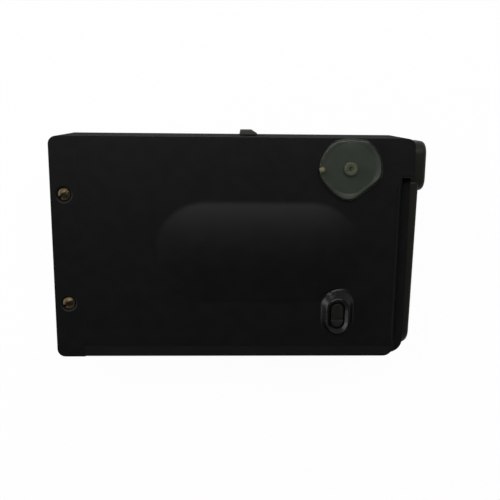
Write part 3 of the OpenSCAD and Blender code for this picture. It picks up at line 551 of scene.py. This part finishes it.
# Front panel
KEY_LOW, KEY_HIGH = box_mm("test_button")
KEY_X, KEY_Y = (KEY_LOW.x + KEY_HIGH.x) / 2, (KEY_LOW.y + KEY_HIGH.y) / 2
KEY_FLANGE = 0.7
KEY_GAP = 0.2
KEY_R = (KEY_HIGH.x - KEY_LOW.x) / 2 - KEY_FLANGE
KEY_HALF = (KEY_HIGH.y - KEY_LOW.y) / 2 - KEY_FLANGE
COLLAR_RISE = 1.6
COLLAR_WALL = 0.85
COLLAR_BEVEL = 0.75
COLLAR_DRAFT = 0.5
COLLAR_SIDE = 1.15
COLLAR_ROUND = 0.45
COLLAR_FOOT = 0.25
COLLAR_WALL_RINGS = 8
COLLAR_SLOPE_RINGS = 12
COLLAR_FOOT_RINGS = (0.06, 0.12, 0.2, 0.32, 0.48, 0.75)
COLLAR_STEPS = 24
HOOD_L = 2.4

LENS_LOW, LENS_HIGH = box_mm("lens_ring")
LENS_X, LENS_Y = (LENS_LOW.x + LENS_HIGH.x) / 2, (LENS_LOW.y + LENS_HIGH.y) / 2
LENS_RING_W = 1.0
LENS_STEM_R = (LENS_HIGH.x - LENS_LOW.x) / 2 - LENS_RING_W
LENS_STEM_GAP = 0.05
LENS_RISE = 1.9
LENS_R = 7.05
LENS_FLATS = ((90, 6.55), (226, 6.7), (309, 6.1))

CELL_LOW, CELL_HIGH = box_mm("battery_cells")
PILLOW_HALF_L, PILLOW_HALF_W = 23.05, 11.3
PILLOW_FROM_R = 34.45
PILLOW = (X_R - PILLOW_FROM_R, (CELL_LOW.y + CELL_HIGH.y) / 2, PILLOW_HALF_L, PILLOW_HALF_W, False)
PILLOW_RISE = 1.1
PILLOW_BALL = (PILLOW_HALF_W ** 2 + PILLOW_RISE ** 2) / (2 * PILLOW_RISE)
PILLOW_SOFT = 0.12
PILLOW_RINGS = (-10.8, -9, -7, -5, -3.4, -2, -1, -0.5, -0.3, -0.15, 0.0, 0.15, 0.3, 0.5, 0.8)
PILLOW_STEPS = 30

STEP_EDGE = 1.35
STEP_EDGE_END = 0.6
STEP_SLOPE = 40
STEP_DULL = 0.4
STEP_RUN_OUT = 3.0
STEP_LINES = 48
SEAM_EDGE = 0.03
PANEL_L, PANEL_B = X_BAR + SEAM, Y_B + RIM_W + SEAM


def swelling(x, y):
    """Height of the crowned swelling above the face."""
    s = stadium_distance(x, y, *PILLOW) + PILLOW_HALF_W
    s = min(s, 2 * PILLOW_HALF_W)
    dome = PILLOW_RISE - PILLOW_BALL + math.sqrt(PILLOW_BALL ** 2 - s * s)
    return smooth_max(dome, 0.0, PILLOW_SOFT)


COLLAR_IN = (KEY_X, KEY_Y, KEY_HALF + KEY_GAP, KEY_R + KEY_GAP, True)
COLLAR_OUT = (KEY_X, KEY_Y + (HOOD_L - COLLAR_DRAFT) / 2,
              KEY_HALF + KEY_GAP + COLLAR_WALL + (COLLAR_DRAFT + HOOD_L) / 2,
              KEY_R + KEY_GAP + COLLAR_WALL + COLLAR_SIDE, True)


def collar(x, y):
    """Height of the collar round the key: a bevel up to its crest, and a longer slope up the panel.
    It is negative outside, where the slope goes on below the face."""
    out = -stadium_distance(x, y, *COLLAR_OUT)
    d = max(0.0, stadium_distance(x, y, *COLLAR_IN))
    rising = COLLAR_RISE - COLLAR_BEVEL + d
    falling = COLLAR_RISE * out / max(0.05, out + d - COLLAR_WALL)
    return -smooth_max(-rising, -falling, COLLAR_ROUND)


def grown(shape, d):
    """A stadium's numbers, larger by d all round."""
    cx, cy, half, r, along = shape
    return (cx, cy, half + d, r + d, along)


def between(a, b, t):
    """A stadium's numbers, a share t of the way from one to another."""
    return tuple(p + (q - p) * t for p, q in zip(a[:4], b[:4])) + (a[4],)


def smooth_step(t):
    """Rise from 0 to 1 with level ends."""
    t = min(1.0, max(0.0, t))
    return t * t * (3 - 2 * t)


def step_edge(y):
    """Rounding along the side step, which runs out towards both ends."""
    run = smooth_step((BLOCK_Y - y) / STEP_RUN_OUT) * smooth_step((y - PANEL_B) / STEP_RUN_OUT)
    return STEP_EDGE_END + (STEP_EDGE - STEP_EDGE_END) * run


def front_panel():
    """Panel with its swelling, the collar round the key and the step along the antenna side."""
    corner = (X_R - CORNER_R, Y_T - CORNER_R)
    outer = [(PANEL_L, PANEL_B), (X_SIDE, PANEL_B), (X_SIDE, BLOCK_Y), (X_R, BLOCK_Y)]
    outer += arc(*corner, CORNER_R, 0, 90, CORNER_STEPS) + [(PANEL_L, Y_T)]
    top = [(PANEL_L, Y_T)] + arc(*corner, CORNER_R, 90, 0, CORNER_STEPS) + [(X_R, BLOCK_Y)]
    side = [(X_R, BLOCK_Y), (X_SIDE, BLOCK_Y), (X_SIDE, PANEL_B)]
    side_y = [PANEL_B + (BLOCK_Y - PANEL_B) * i / STEP_LINES for i in range(STEP_LINES, -1, -1)]
    seams = [(PANEL_L, Y_T), (PANEL_L, PANEL_B), (X_SIDE, PANEL_B)]
    plain, dull, glossy = range(3)

    def height(x, y):
        z = smooth_max(swelling(x, y), collar(x, y), COLLAR_FOOT)
        drop = max(fillet_drop(line_distance(x, y, top), EDGE_W, EDGE_SLOPE),
                   fillet_drop(line_distance(x, y, side), step_edge(y), STEP_SLOPE),
                   fillet_drop(line_distance(x, y, seams), SEAM_EDGE))
        return FACE_Z + z - drop

    def paint(x, y):
        if stadium_distance(x, y, *COLLAR_OUT) < 0:
            return glossy
        # Dull strips take the shell plastic, whose lighter black paints light into the step edge's shade.
        if line_distance(x, y, top) < EDGE_W or line_distance(x, y, side[1:]) < step_edge(y) * STEP_DULL:
            return dull
        return plain

    lines = []
    for d in fillet_steps(EDGE_W):
        lines.append([(PANEL_L, Y_T - d)] + arc(*corner, CORNER_R - d, 90, 0, CORNER_STEPS)
                     + [(X_R - d, BLOCK_Y)])
    for d in fillet_steps(1.0, 7):
        end = d * STEP_EDGE_END
        lines.append([(X_R, BLOCK_Y + end)] + arc(X_SIDE, BLOCK_Y, end, 90, 180, 6)
                     + [(X_SIDE - d * step_edge(y), y) for y in side_y[1:]])
    for d in fillet_steps(SEAM_EDGE, 3):
        lines.append([(PANEL_L + d, Y_T), (PANEL_L + d, PANEL_B)])
        lines.append([(PANEL_L, PANEL_B + d), (X_SIDE, PANEL_B + d)])
    for d in PILLOW_RINGS:
        lines.append(closed(stadium(*grown(PILLOW, d), PILLOW_STEPS)))
    crest = grown(COLLAR_IN, COLLAR_WALL)
    shapes = [grown(COLLAR_IN, COLLAR_WALL * i / COLLAR_WALL_RINGS) for i in range(1, COLLAR_WALL_RINGS + 1)]
    shapes += [between(crest, COLLAR_OUT, i / COLLAR_SLOPE_RINGS) for i in range(1, COLLAR_SLOPE_RINGS + 1)]
    shapes += [grown(COLLAR_OUT, d) for d in COLLAR_FOOT_RINGS]
    lines += [closed(stadium(*shape, COLLAR_STEPS)) for shape in shapes]
    holes = [circle(LENS_X, LENS_Y, LENS_STEM_R + LENS_STEM_GAP, 48), stadium(*COLLAR_IN, COLLAR_STEPS)]
    build = Build()
    build.plate([outer] + holes, lines, height,
                [(0.0, PANEL_Z + PARTING), (-PARTING, PANEL_Z)],
                paint=paint, wall=dull)
    build.make("panel_face", "housing",
               mats("panel_plastic", "shell_plastic") + [COLLAR_PLASTIC], ["front_panel"], 30)


# End bar and its screws
SCREW_LOW, SCREW_HIGH = box_mm("bar_screws")
SCREW_X = (SCREW_LOW.x + SCREW_HIGH.x) / 2
SCREW_R = (SCREW_HIGH.x - SCREW_LOW.x) / 2
SCREW_AT = [(SCREW_X, SCREW_HIGH.y - SCREW_R), (SCREW_X, SCREW_LOW.y + SCREW_R)]
SINK_R = SCREW_R + 0.42
SINK_FLOOR_R = SCREW_R + 0.06
SINK_DEPTH = 0.9
SINK_DISH = 0.42
SINK_ROUND = 0.2
SINK_RINGS = [SINK_FLOOR_R - 0.02, SINK_FLOOR_R] + [SINK_FLOOR_R + 0.09 * i for i in range(1, 8)]
HEAD_H = 1.1
HEAD_SIDE = 0.6


def end_bar():
    """Bar that locks the panel, with a shallow sink for each screw."""
    x, low, high = X_L + CORNER_R, Y_B + CORNER_R, Y_T - CORNER_R

    def edge(d):
        r = CORNER_R - d
        return ([(X_BAR, Y_T - d)] + arc(x, high, r, 90, 180, CORNER_STEPS)
                + arc(x, low, r, 180, 270, CORNER_STEPS) + [(X_BAR, Y_B + d)])

    curve = edge(0.0)
    seam = [(X_BAR, Y_B), (X_BAR, Y_T)]
    plain, dull = range(2)

    def height(x, y):
        out = min(math.hypot(x - cx, y - cy) for cx, cy in SCREW_AT)
        z = -smooth_max((SINK_R - out) * SINK_DISH / (SINK_R - SINK_FLOOR_R), 0.0, SINK_ROUND)
        if out < SINK_FLOOR_R - 0.01:
            z = -SINK_DEPTH
        drop = max(fillet_drop(line_distance(x, y, curve), EDGE_W, EDGE_SLOPE),
                   fillet_drop(line_distance(x, y, seam), SEAM_EDGE))
        return FACE_Z + z - drop

    def paint(x, y):
        return dull if line_distance(x, y, curve) < EDGE_W else plain

    lines = [edge(d) for d in fillet_steps(EDGE_W)]
    lines += [[(X_BAR - d, Y_B), (X_BAR - d, Y_T)] for d in fillet_steps(SEAM_EDGE, 3)]
    lines += [closed(circle(*at, r, 48)) for at in SCREW_AT for r in SINK_RINGS]
    build = Build()
    build.plate([list(reversed(curve))], lines, height,
                [(0.0, BAR_LOW.z + PARTING), (-PARTING, BAR_LOW.z)],
                paint=paint, wall=dull)
    build.make("bar_cover", "housing",
               mats("panel_plastic", "shell_plastic"), ["end_bar"], 30)


SLOT_HALF_W = 0.17
SLOT_DEPTH = 0.5
SLOT_DRAFT = 0.08
SLOT_TURN = (37.0, 32.0)
SLOT_LINES = (SLOT_HALF_W, SLOT_HALF_W + SLOT_DRAFT / 2, SLOT_HALF_W + SLOT_DRAFT)
HEAD_RINGS = (0.1, 0.25, 0.45, 0.7, 0.95, 1.2)


def bar_screws():
    """Domed, slotted heads."""
    base = FACE_Z - SINK_DEPTH
    dome = HEAD_H - HEAD_SIDE
    ball = (SCREW_R ** 2 + dome ** 2) / (2 * dome)
    build = Build()
    for (cx, cy), turn in zip(SCREW_AT, SLOT_TURN):
        along = Vector((math.cos(math.radians(turn)), math.sin(math.radians(turn))))
        across = Vector((-along.y, along.x))

        def height(x, y):
            p = Vector((x - cx, y - cy))
            z = HEAD_H - ball + math.sqrt(ball * ball - p.length_squared)
            deep = (SLOT_HALF_W + SLOT_DRAFT - abs(p.dot(across))) / SLOT_DRAFT
            return base + z - SLOT_DEPTH * smooth_step(deep)

        lines = []
        for v in SLOT_LINES:
            u = math.sqrt((SCREW_R - 0.01) ** 2 - v * v)
            for side in (-v, v):
                ends = [across * side - along * u, across * side + along * u]
                lines.append([(cx + e.x, cy + e.y) for e in ends])
        lines += [closed(circle(cx, cy, SCREW_R - d, 40)) for d in HEAD_RINGS]
        build.plate([circle(cx, cy, SCREW_R, 40)], lines, height, [(0.0, base)])
    build.make("bar_screw_heads", "housing", [SCREW_BRASS], ["bar_screws"], 40)


# Lens and lamp
LAMP_LOW, LAMP_HIGH = box_mm("sensor_lamp")
LAMP_R = 1.5
LENS_POINTS = 120
LENS_SOFT = 0.9
LENS_LIFT = 0.03
LENS_DISC_R = 5.6
LENS_LIP = 0.4
LENS_BEVEL_W = 0.5
LENS_BEVEL_H = 0.6
LENS_EDGE = 0.95
LENS_ROUND = 0.5
LENS_BORE = LAMP_R + 0.06
LENS_ROOF = LAMP_HIGH.z - FACE_Z + 0.15
LENS_MEET = math.radians(82)
LENS_CROWN = (0.93, 0.84, 0.72, 0.6, 0.47, 0.33, 0.2, 0.08)
LENS_STEM_OUT = 1.4
LENS_FLAT_REACH = 0.2
GLINT_NUB_R = 0.75
GLINT_NUB_TURN = math.radians(182)


def lens_radius(a):
    """Radius of the lens outline: a disc with three flats."""
    r = LENS_R
    for turn, flat in LENS_FLATS:
        c = math.cos(a - math.radians(turn))
        if c > LENS_FLAT_REACH:
            r = -smooth_max(-r, -flat / c, LENS_SOFT)
    return r


def sensor_lens():
    """Clear cap with a frosted back and bevel, and a stem through the panel, round the lamp."""
    angles = [2 * math.pi * i / LENS_POINTS for i in range(LENS_POINTS)]
    outline = [lens_radius(a) for a in angles]

    def ring(z, radius):
        return [(LENS_X + radius(r) * math.cos(a), LENS_Y + radius(r) * math.sin(a), FACE_Z + z)
                for r, a in zip(outline, angles)]

    def disc_radius(r):
        return min(r - LENS_LIP - LENS_BEVEL_W, LENS_DISC_R)

    clear, back, bevel, glint = range(4)
    rings = [ring(LENS_ROOF, lambda r: LENS_BORE * 0.4), ring(LENS_ROOF, lambda r: LENS_BORE),
             ring(LENS_LIFT, lambda r: LENS_BORE), ring(LENS_LIFT, lambda r: disc_radius(r) - 0.1),
             ring(LENS_LIFT, disc_radius)]
    for i in range(1, 6):
        t = i / 5
        rings.append(ring(LENS_LIFT + (LENS_BEVEL_H - LENS_LIFT) * (t + t * t) / 2,
                          lambda r, t=t: disc_radius(r) + (r - LENS_LIP - disc_radius(r)) * t))
    rings += [ring(LENS_LIFT, lambda r: r), ring(LENS_EDGE, lambda r: r)]
    slots = [clear, clear, back, back] + [bevel] * 5 + [clear, clear]
    for i in range(1, 8):
        f = LENS_MEET * i / 7
        rings.append(ring(LENS_EDGE + LENS_ROUND * math.sin(f),
                          lambda r, f=f: r - LENS_ROUND * (1 - math.cos(f))))
    z0 = LENS_EDGE + LENS_ROUND * math.sin(LENS_MEET)
    inset = LENS_ROUND * (1 - math.cos(LENS_MEET))
    for t in LENS_CROWN:
        rings.append(ring(z0 + (LENS_RISE - z0) * (1 - t * t), lambda r, t=t: (r - inset) * t))
    slots += [clear] * (len(rings) - 1 - len(slots))
    build = Build()
    build.loft(rings, slot=slots)
    foot = -PANEL_T - LENS_STEM_OUT
    tube = [ring(foot, lambda r: LENS_BORE), ring(foot, lambda r: LENS_STEM_R),
            ring(0.0, lambda r: LENS_STEM_R), ring(0.0, lambda r: LENS_BORE)]
    build.loft(tube + tube[:1], False, False, slot=clear)
    # A nub at the lens's left edge, in a light warm colour that paints a glint there.
    reach = lens_radius(GLINT_NUB_TURN) - GLINT_NUB_R
    place = Matrix.Translation((LENS_X + reach * math.cos(GLINT_NUB_TURN),
                                LENS_Y + reach * math.sin(GLINT_NUB_TURN), FACE_Z))
    nub = [(GLINT_NUB_R * 0.5, LENS_BEVEL_H), (GLINT_NUB_R, LENS_BEVEL_H + 0.1)]
    nub += [(GLINT_NUB_R * math.cos(math.pi / 2 * i / 6), LENS_EDGE + GLINT_NUB_R * math.sin(math.pi / 2 * i / 6))
            for i in range(6)]
    nub.append((0.08, LENS_EDGE + GLINT_NUB_R))
    build.lathe(nub, place, 24, glint)
    build.make("lens_dome", "housing",
               mats("lens_clear") + [LENS_BACK, LENS_BEVEL, LENS_GLINT], ["sensor_lens"], 20)


LAMP_L = 5.3
LAMP_EDGE = 0.28
LAMP_FLANGE_R = 1.9
LAMP_FLANGE_H = 1.0
LAMP_LEG_R = 0.25
LAMP_LEG_PITCH = 1.27
DIMPLE_R = 0.55
DIMPLE_DEPTH = 0.4


def sensor_lamp():
    """Flat-topped lamp with a dimple over its die, standing in the lens."""
    resin, die, metal_leg = range(3)
    top, low, e = LAMP_HIGH.z, LAMP_LOW.z, LAMP_EDGE
    body_low = top - LAMP_L
    profile = [(0.3, body_low), (LAMP_FLANGE_R, body_low), (LAMP_FLANGE_R, body_low + LAMP_FLANGE_H),
               (LAMP_R, body_low + LAMP_FLANGE_H), (LAMP_R, top - e)]
    profile += [(LAMP_R - e * (1 - math.cos(f)), top - e * (1 - math.sin(f))) for f in QUARTER]
    rim = len(profile)
    profile += [(DIMPLE_R + 0.1, top), (DIMPLE_R, top - 0.05), (DIMPLE_R * 0.55, top - DIMPLE_DEPTH * 0.85),
                (0.1, top - DIMPLE_DEPTH)]
    place = Matrix.Translation((LENS_X, LENS_Y, 0))
    build = Build()
    build.lathe(profile, place, 48, [resin] * (rim + 1) + [die] * (len(profile) - rim - 2))
    for side in (-1, 1):
        leg = Matrix.Translation((LENS_X + side * LAMP_LEG_PITCH / 2, LENS_Y, 0))
        build.lathe([(LAMP_LEG_R * 0.6, low), (LAMP_LEG_R, low + 0.1), (LAMP_LEG_R, body_low)],
                    leg, 12, metal_leg)
    build.make("lamp_bulb", "housing",
               mats("lamp_clear") + [LAMP_DIE] + mats("bright_steel"), ["sensor_lamp"], 40)


# Key
KEY_GROOVE_Y = -0.95
KEY_GROOVE_W = 0.5
KEY_GROOVE = 0.14
KEY_EDGE = 0.35
KEY_DISH = 0.18
KEY_DISH_REACH = 1.1
KEY_RINGS = (0.75, 1.0, 1.3, 1.6)
KEY_FLANGE_T = 0.8
KEY_LINE_GAP = 0.02


def test_key():
    """Sunk key with a dish, a groove across it and a flange that holds it in the panel."""
    shape = (KEY_X, KEY_Y, KEY_HALF, KEY_R, True)

    def height(x, y):
        d = -stadium_distance(x, y, *shape)
        dish = KEY_DISH * min(1.0, max(0.0, (d - KEY_EDGE) / KEY_DISH_REACH)) ** 2
        g = abs(y - KEY_Y - KEY_GROOVE_Y) / KEY_GROOVE_W
        groove = KEY_GROOVE * (0.5 + 0.5 * math.cos(math.pi * min(1.0, g)))
        return KEY_HIGH.z - dish - max(groove, fillet_drop(d, KEY_EDGE))

    lines = [closed(stadium(*grown(shape, -d), 20)) for d in (*fillet_steps(KEY_EDGE, 5), *KEY_RINGS)]
    for i in range(-5, 6):
        y = KEY_Y + KEY_GROOVE_Y + KEY_GROOVE_W * i / 5
        past = max(0.0, abs(y - KEY_Y) - KEY_HALF + KEY_R)
        half = math.sqrt(KEY_R ** 2 - past ** 2) - KEY_LINE_GAP
        lines.append([(KEY_X - half, y), (KEY_X + half, y)])
    flange = KEY_LOW.z + KEY_FLANGE_T
    build = Build()
    build.plate([stadium(*shape, 20)], lines, height,
                [(0.0, flange), (KEY_FLANGE, flange), (KEY_FLANGE, KEY_LOW.z)])
    build.make("test_key", "key", mats("key_rubber"), ["test_button"], 45)


# Antenna
ANT_LOW, ANT_HIGH = box_mm("antenna_blade")
BLADE_T = 2.5
BLADE_TAPER = 0.4
BLADE_HALF_W = 5.4
BLADE_TIP_R = 4.0
BLADE_TOP_R = 0.8
BLADE_EDGE = 0.7
BLADE_INNER_EDGE = 0.3
BLADE_TIP_ROUND = 1.7
KNUCKLE_HALF_L = 5.75
KNUCKLE_R = 3.0
KNUCKLE_ROUND = 1.1
PIVOT_Y, PIVOT_Z = ANT_HIGH.y - KNUCKLE_HALF_L, (ANT_LOW.z + ANT_HIGH.z) / 2
BLADE_DROP = 3.2


def antenna():
    """Blade and knuckle, each a flat block in Y and Z with rounded edges, tapered where asked."""
    x0, w = ANT_LOW.x, BLADE_HALF_W
    y0, y1 = ANT_LOW.y, PIVOT_Y - BLADE_DROP
    build = Build()

    def block(outline, thick, taper, rounding):
        normals = outward(outline)
        x1 = x0 + thick

        def ring(inset, x, share=0.0):
            return [(x(n) - share * taper(p[0]), p[0] - n.x * inset(n), PIVOT_Z + p[1] - n.y * inset(n))
                    for p, n in zip(outline, normals)]

        rings = []
        e = BLADE_INNER_EDGE
        for i in range(4):
            f = math.pi / 2 * i / 3
            rings.append(ring(lambda n: e * (1 - math.sin(f)), lambda n: x0 + e * (1 - math.cos(f))))
        for i in range(9):
            f = math.pi / 2 * i / 8
            rings.append(ring(lambda n: rounding(n) * (1 - math.cos(f)),
                              lambda n: x1 - rounding(n) * (1 - math.sin(f)), 1.0))
        build.loft(rings)

    tip, top = BLADE_TIP_R, BLADE_TOP_R
    blade = (arc(y0 + tip, -w + tip, tip, 180, 270, 12) + arc(y1 - top, -w + top, top, 270, 360, 6)
             + arc(y1 - top, w - top, top, 0, 90, 6) + arc(y0 + tip, w - tip, tip, 90, 180, 12))
    block(blade, BLADE_T, lambda y: BLADE_TAPER * (y1 - y) / (y1 - y0),
          lambda n: BLADE_EDGE + (BLADE_TIP_ROUND - BLADE_EDGE) * max(0.0, -n.x) ** 2)
    half, r = KNUCKLE_HALF_L - KNUCKLE_R, KNUCKLE_R
    knuckle = []
    for turn, sy, sz in ((0, 1, 1), (90, -1, 1), (180, -1, -1), (270, 1, -1)):
        knuckle += arc(PIVOT_Y + sy * half, sz * (w - r), r, turn, turn + 90, 10)
    block(knuckle, ANT_HIGH.x - ANT_LOW.x, lambda y: 0.0, lambda n: KNUCKLE_ROUND)
    build.make("antenna_arm", "antenna", mats("antenna_plastic"), ["antenna_blade"], 40)


# Lock wheel
WHEEL_LOW, WHEEL_HIGH = box_mm("lock_wheel")
WHEEL_R = 13.0
WHEEL_BORE_R = 7.5
WHEEL_EDGE = 0.55
WHEEL_BORE_EDGE = 0.25
KNURLS = 36
KNURL_R = 0.65
KNURL_OUT = 0.234
KNURL_STEPS = 12


def lock_wheel():
    """Knurled ring with rounded edges."""
    steps = KNURL_STEPS
    n = KNURLS * steps
    rim = []
    for i in range(n):
        a = 2 * math.pi * i / n
        s = WHEEL_R * ((i % steps) / steps - (1 if i % steps > steps / 2 else 0)) * 2 * math.pi / KNURLS
        cut = max(0.0, math.sqrt(max(0.0, KNURL_R ** 2 - s * s)) - KNURL_OUT)
        rim.append((a, WHEEL_R - cut))

    def ring(z, limit):
        return [(min(r, limit) * math.cos(a), min(r, limit) * math.sin(a), z) for a, r in rim]

    z0, z1, e = WHEEL_LOW.z, WHEEL_HIGH.z, WHEEL_EDGE
    bore, b = WHEEL_BORE_R, WHEEL_BORE_EDGE
    rings = [ring(z0, bore + b), ring(z0, WHEEL_R - e)]
    rings += [ring(z0 + e * (1 - math.cos(f)), WHEEL_R - e * (1 - math.sin(f))) for f in QUARTER]
    rings += [ring(z1 - e * (1 - math.sin(f)), WHEEL_R - e * (1 - math.cos(f))) for f in (0.0, *QUARTER)]
    rings += [ring(z1, bore + b), ring(z1 - b, bore), ring(z0 + b, bore)]
    build = Build()
    build.loft(rings, False, False)
    last = (len(rings) - 1) * n
    build.faces += [(last + i, last + (i + 1) % n, (i + 1) % n, i) for i in range(n)]
    build.slots += [0] * n
    build.make("lock_wheel_rim", "wheel", mats("wheel_metal"), ["lock_wheel"], 40)


# Contact spring
SPRING_LOW, SPRING_HIGH = box_mm("contact_spring")
SPRING_WIRE_R = 0.18
SPRING_TURNS = 6
SPRING_STEPS = 30
SPRING_SIDES = 12


def contact_spring():
    """Coil with closed ends between the contact pin and the board."""
    w = SPRING_WIRE_R
    r = (SPRING_HIGH.x - SPRING_LOW.x) / 2 - w
    low, high = SPRING_LOW.z + w, SPRING_HIGH.z - w
    pitch = (high - low - 4 * w) / (SPRING_TURNS - 2)
    rings = []
    for i in range(SPRING_TURNS * SPRING_STEPS + 1):
        t = i / SPRING_STEPS
        a = 2 * math.pi * t
        open_turns = min(max(t - 1, 0.0), SPRING_TURNS - 2.0)
        z = low + pitch * open_turns + 2 * w * (t - open_turns)
        ring = []
        for k in range(SPRING_SIDES):
            b = 2 * math.pi * k / SPRING_SIDES
            q = r + w * math.cos(b)
            ring.append((q * math.cos(a), q * math.sin(a), z - w * math.sin(b)))
        rings.append(ring)
    build = Build()
    build.loft(rings)
    coil = build.make("contact_coil", "housing", mats("steel"), ["contact_spring"], 60)
    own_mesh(coil)


front_panel()
end_bar()
bar_screws()
sensor_lens()
sensor_lamp()
test_key()
antenna()
lock_wheel()
contact_spring()

# Studio
CAMERA_AT = (-0.001134, 0.031741, 0.18262)
CAMERA_TILT = (-11.66, -1.83, 0.21)
FOCAL_PX, IMAGE_PX, SENSOR_MM = 697.3, 500, 36.0
FLOOR_WHITE = 0.86
FLOOR_GLOW = 0.97
FLOOR_R = 900.0
FLOOR_GAP = 0.02
COVE_R = 300.0
COVE_STEPS = 12
COVE_SIDES = 96
WALL_H = 500.0
WORLD_FILL = 0.06
LIGHT_AIM = (0, 0, 0.025)

camera = bpy.data.objects.new("camera", bpy.data.cameras.new("camera"))
bpy.context.scene.collection.objects.link(camera)
camera.data.sensor_fit = "HORIZONTAL"
camera.data.sensor_width = SENSOR_MM
camera.data.lens = FOCAL_PX * SENSOR_MM / IMAGE_PX
camera.data.clip_start = 0.005
turn = Matrix.Identity(3)
for axis, degrees in zip("XYZ", CAMERA_TILT):
    turn = turn @ Matrix.Rotation(math.radians(degrees), 3, axis)
camera.matrix_world = Matrix.Translation(CAMERA_AT) @ turn.to_4x4()
bpy.context.scene.camera = camera


def studio_white():
    """Pale floor: white to the eye and in reflections, while its own shading keeps the shadow.
    Its underside is clear, so that the foot can be seen from below."""
    material = bpy.data.materials.new("studio_white")
    material.use_nodes = True
    tree = material.node_tree
    tree.nodes.clear()
    out = tree.nodes.new("ShaderNodeOutputMaterial")
    mix = tree.nodes.new("ShaderNodeMixShader")
    matt = tree.nodes.new("ShaderNodeBsdfDiffuse")
    matt.inputs["Color"].default_value = (FLOOR_WHITE, FLOOR_WHITE, FLOOR_WHITE, 1)
    glow = tree.nodes.new("ShaderNodeEmission")
    glow.inputs["Strength"].default_value = 1.0
    path = tree.nodes.new("ShaderNodeLightPath")
    seen = path.outputs["Is Camera Ray"]
    for name in ("Is Glossy Ray", "Is Transmission Ray"):
        add = tree.nodes.new("ShaderNodeMath")
        add.operation = "MAXIMUM"
        tree.links.new(seen, add.inputs[0])
        tree.links.new(path.outputs[name], add.inputs[1])
        seen = add.outputs[0]
    share = tree.nodes.new("ShaderNodeMath")
    share.operation = "MULTIPLY"
    share.inputs[1].default_value = FLOOR_GLOW
    tree.links.new(seen, share.inputs[0])
    tree.links.new(share.outputs[0], mix.inputs[0])
    tree.links.new(matt.outputs[0], mix.inputs[1])
    tree.links.new(glow.outputs[0], mix.inputs[2])
    below = tree.nodes.new("ShaderNodeNewGeometry")
    clear = tree.nodes.new("ShaderNodeBsdfTransparent")
    pane = tree.nodes.new("ShaderNodeMixShader")
    tree.links.new(below.outputs["Backfacing"], pane.inputs[0])
    tree.links.new(mix.outputs[0], pane.inputs[1])
    tree.links.new(clear.outputs[0], pane.inputs[2])
    tree.links.new(pane.outputs[0], out.inputs["Surface"])
    return material


floor_z = box_mm("contact_pin")[0].z - FLOOR_GAP
profile = [(1.0, floor_z), (FLOOR_R, floor_z)]
for i in range(1, COVE_STEPS + 1):
    f = math.pi / 2 * i / COVE_STEPS
    profile.append((FLOOR_R + COVE_R * math.sin(f), floor_z + COVE_R * (1 - math.cos(f))))
profile.append((FLOOR_R + COVE_R, floor_z + COVE_R + WALL_H))
cove = Build()
cove.loft([[(*p, z) for p in circle(0, 0, r, COVE_SIDES)] for r, z in profile], True, False)
mesh = bpy.data.meshes.new("floor")
mesh.from_pydata([Vector(v) * MM for v in cove.verts], [], [tuple(reversed(f)) for f in cove.faces])
mesh.polygons.foreach_set("use_smooth", [True] * len(cove.faces))
mesh.materials.append(studio_white())
floor = bpy.data.objects.new("floor", mesh)
bpy.context.scene.collection.objects.link(floor)


def softbox(name, at, wide, deep, watts, colour):
    """Soft rectangular lamp, aimed at the part and unseen by the camera."""
    data = bpy.data.lights.new(name, "AREA")
    data.shape = "RECTANGLE"
    data.size = wide
    data.size_y = deep
    data.energy = watts
    data.color = colour
    lamp = bpy.data.objects.new(name, data)
    bpy.context.scene.collection.objects.link(lamp)
    lamp.location = at
    lamp.rotation_euler = (Vector(LIGHT_AIM) - Vector(at)).to_track_quat("-Z", "Y").to_euler()
    lamp.visible_camera = False


softbox("key_light", at=(-0.02, 0.28, 0.5), wide=0.6, deep=0.18, watts=3.0, colour=(0.96, 1.0, 0.92))
softbox("side_light", at=(-0.6, 0.16, 0.2), wide=0.8, deep=0.14, watts=2.5, colour=(0.98, 1.0, 0.98))

world = bpy.data.worlds.new("studio")
bpy.context.scene.world = world
world.use_nodes = True
tree = world.node_tree
fill = tree.nodes["Background"]
fill.inputs["Color"].default_value = (0.9, 0.95, 1.0, 1)
fill.inputs["Strength"].default_value = WORLD_FILL
backdrop = tree.nodes.new("ShaderNodeBackground")
backdrop.inputs["Strength"].default_value = 1.0
backdrop.inputs["Color"].default_value = (1, 1, 1, 1)
path = tree.nodes.new("ShaderNodeLightPath")
seen = tree.nodes.new("ShaderNodeMixShader")
tree.links.new(path.outputs["Is Camera Ray"], seen.inputs[0])
tree.links.new(fill.outputs[0], seen.inputs[1])
tree.links.new(backdrop.outputs[0], seen.inputs[2])
tree.links.new(seen.outputs[0], tree.nodes["World Output"].inputs["Surface"])

bpy.context.scene.view_settings.view_transform = "Standard"

bpy.context.view_layer.update()
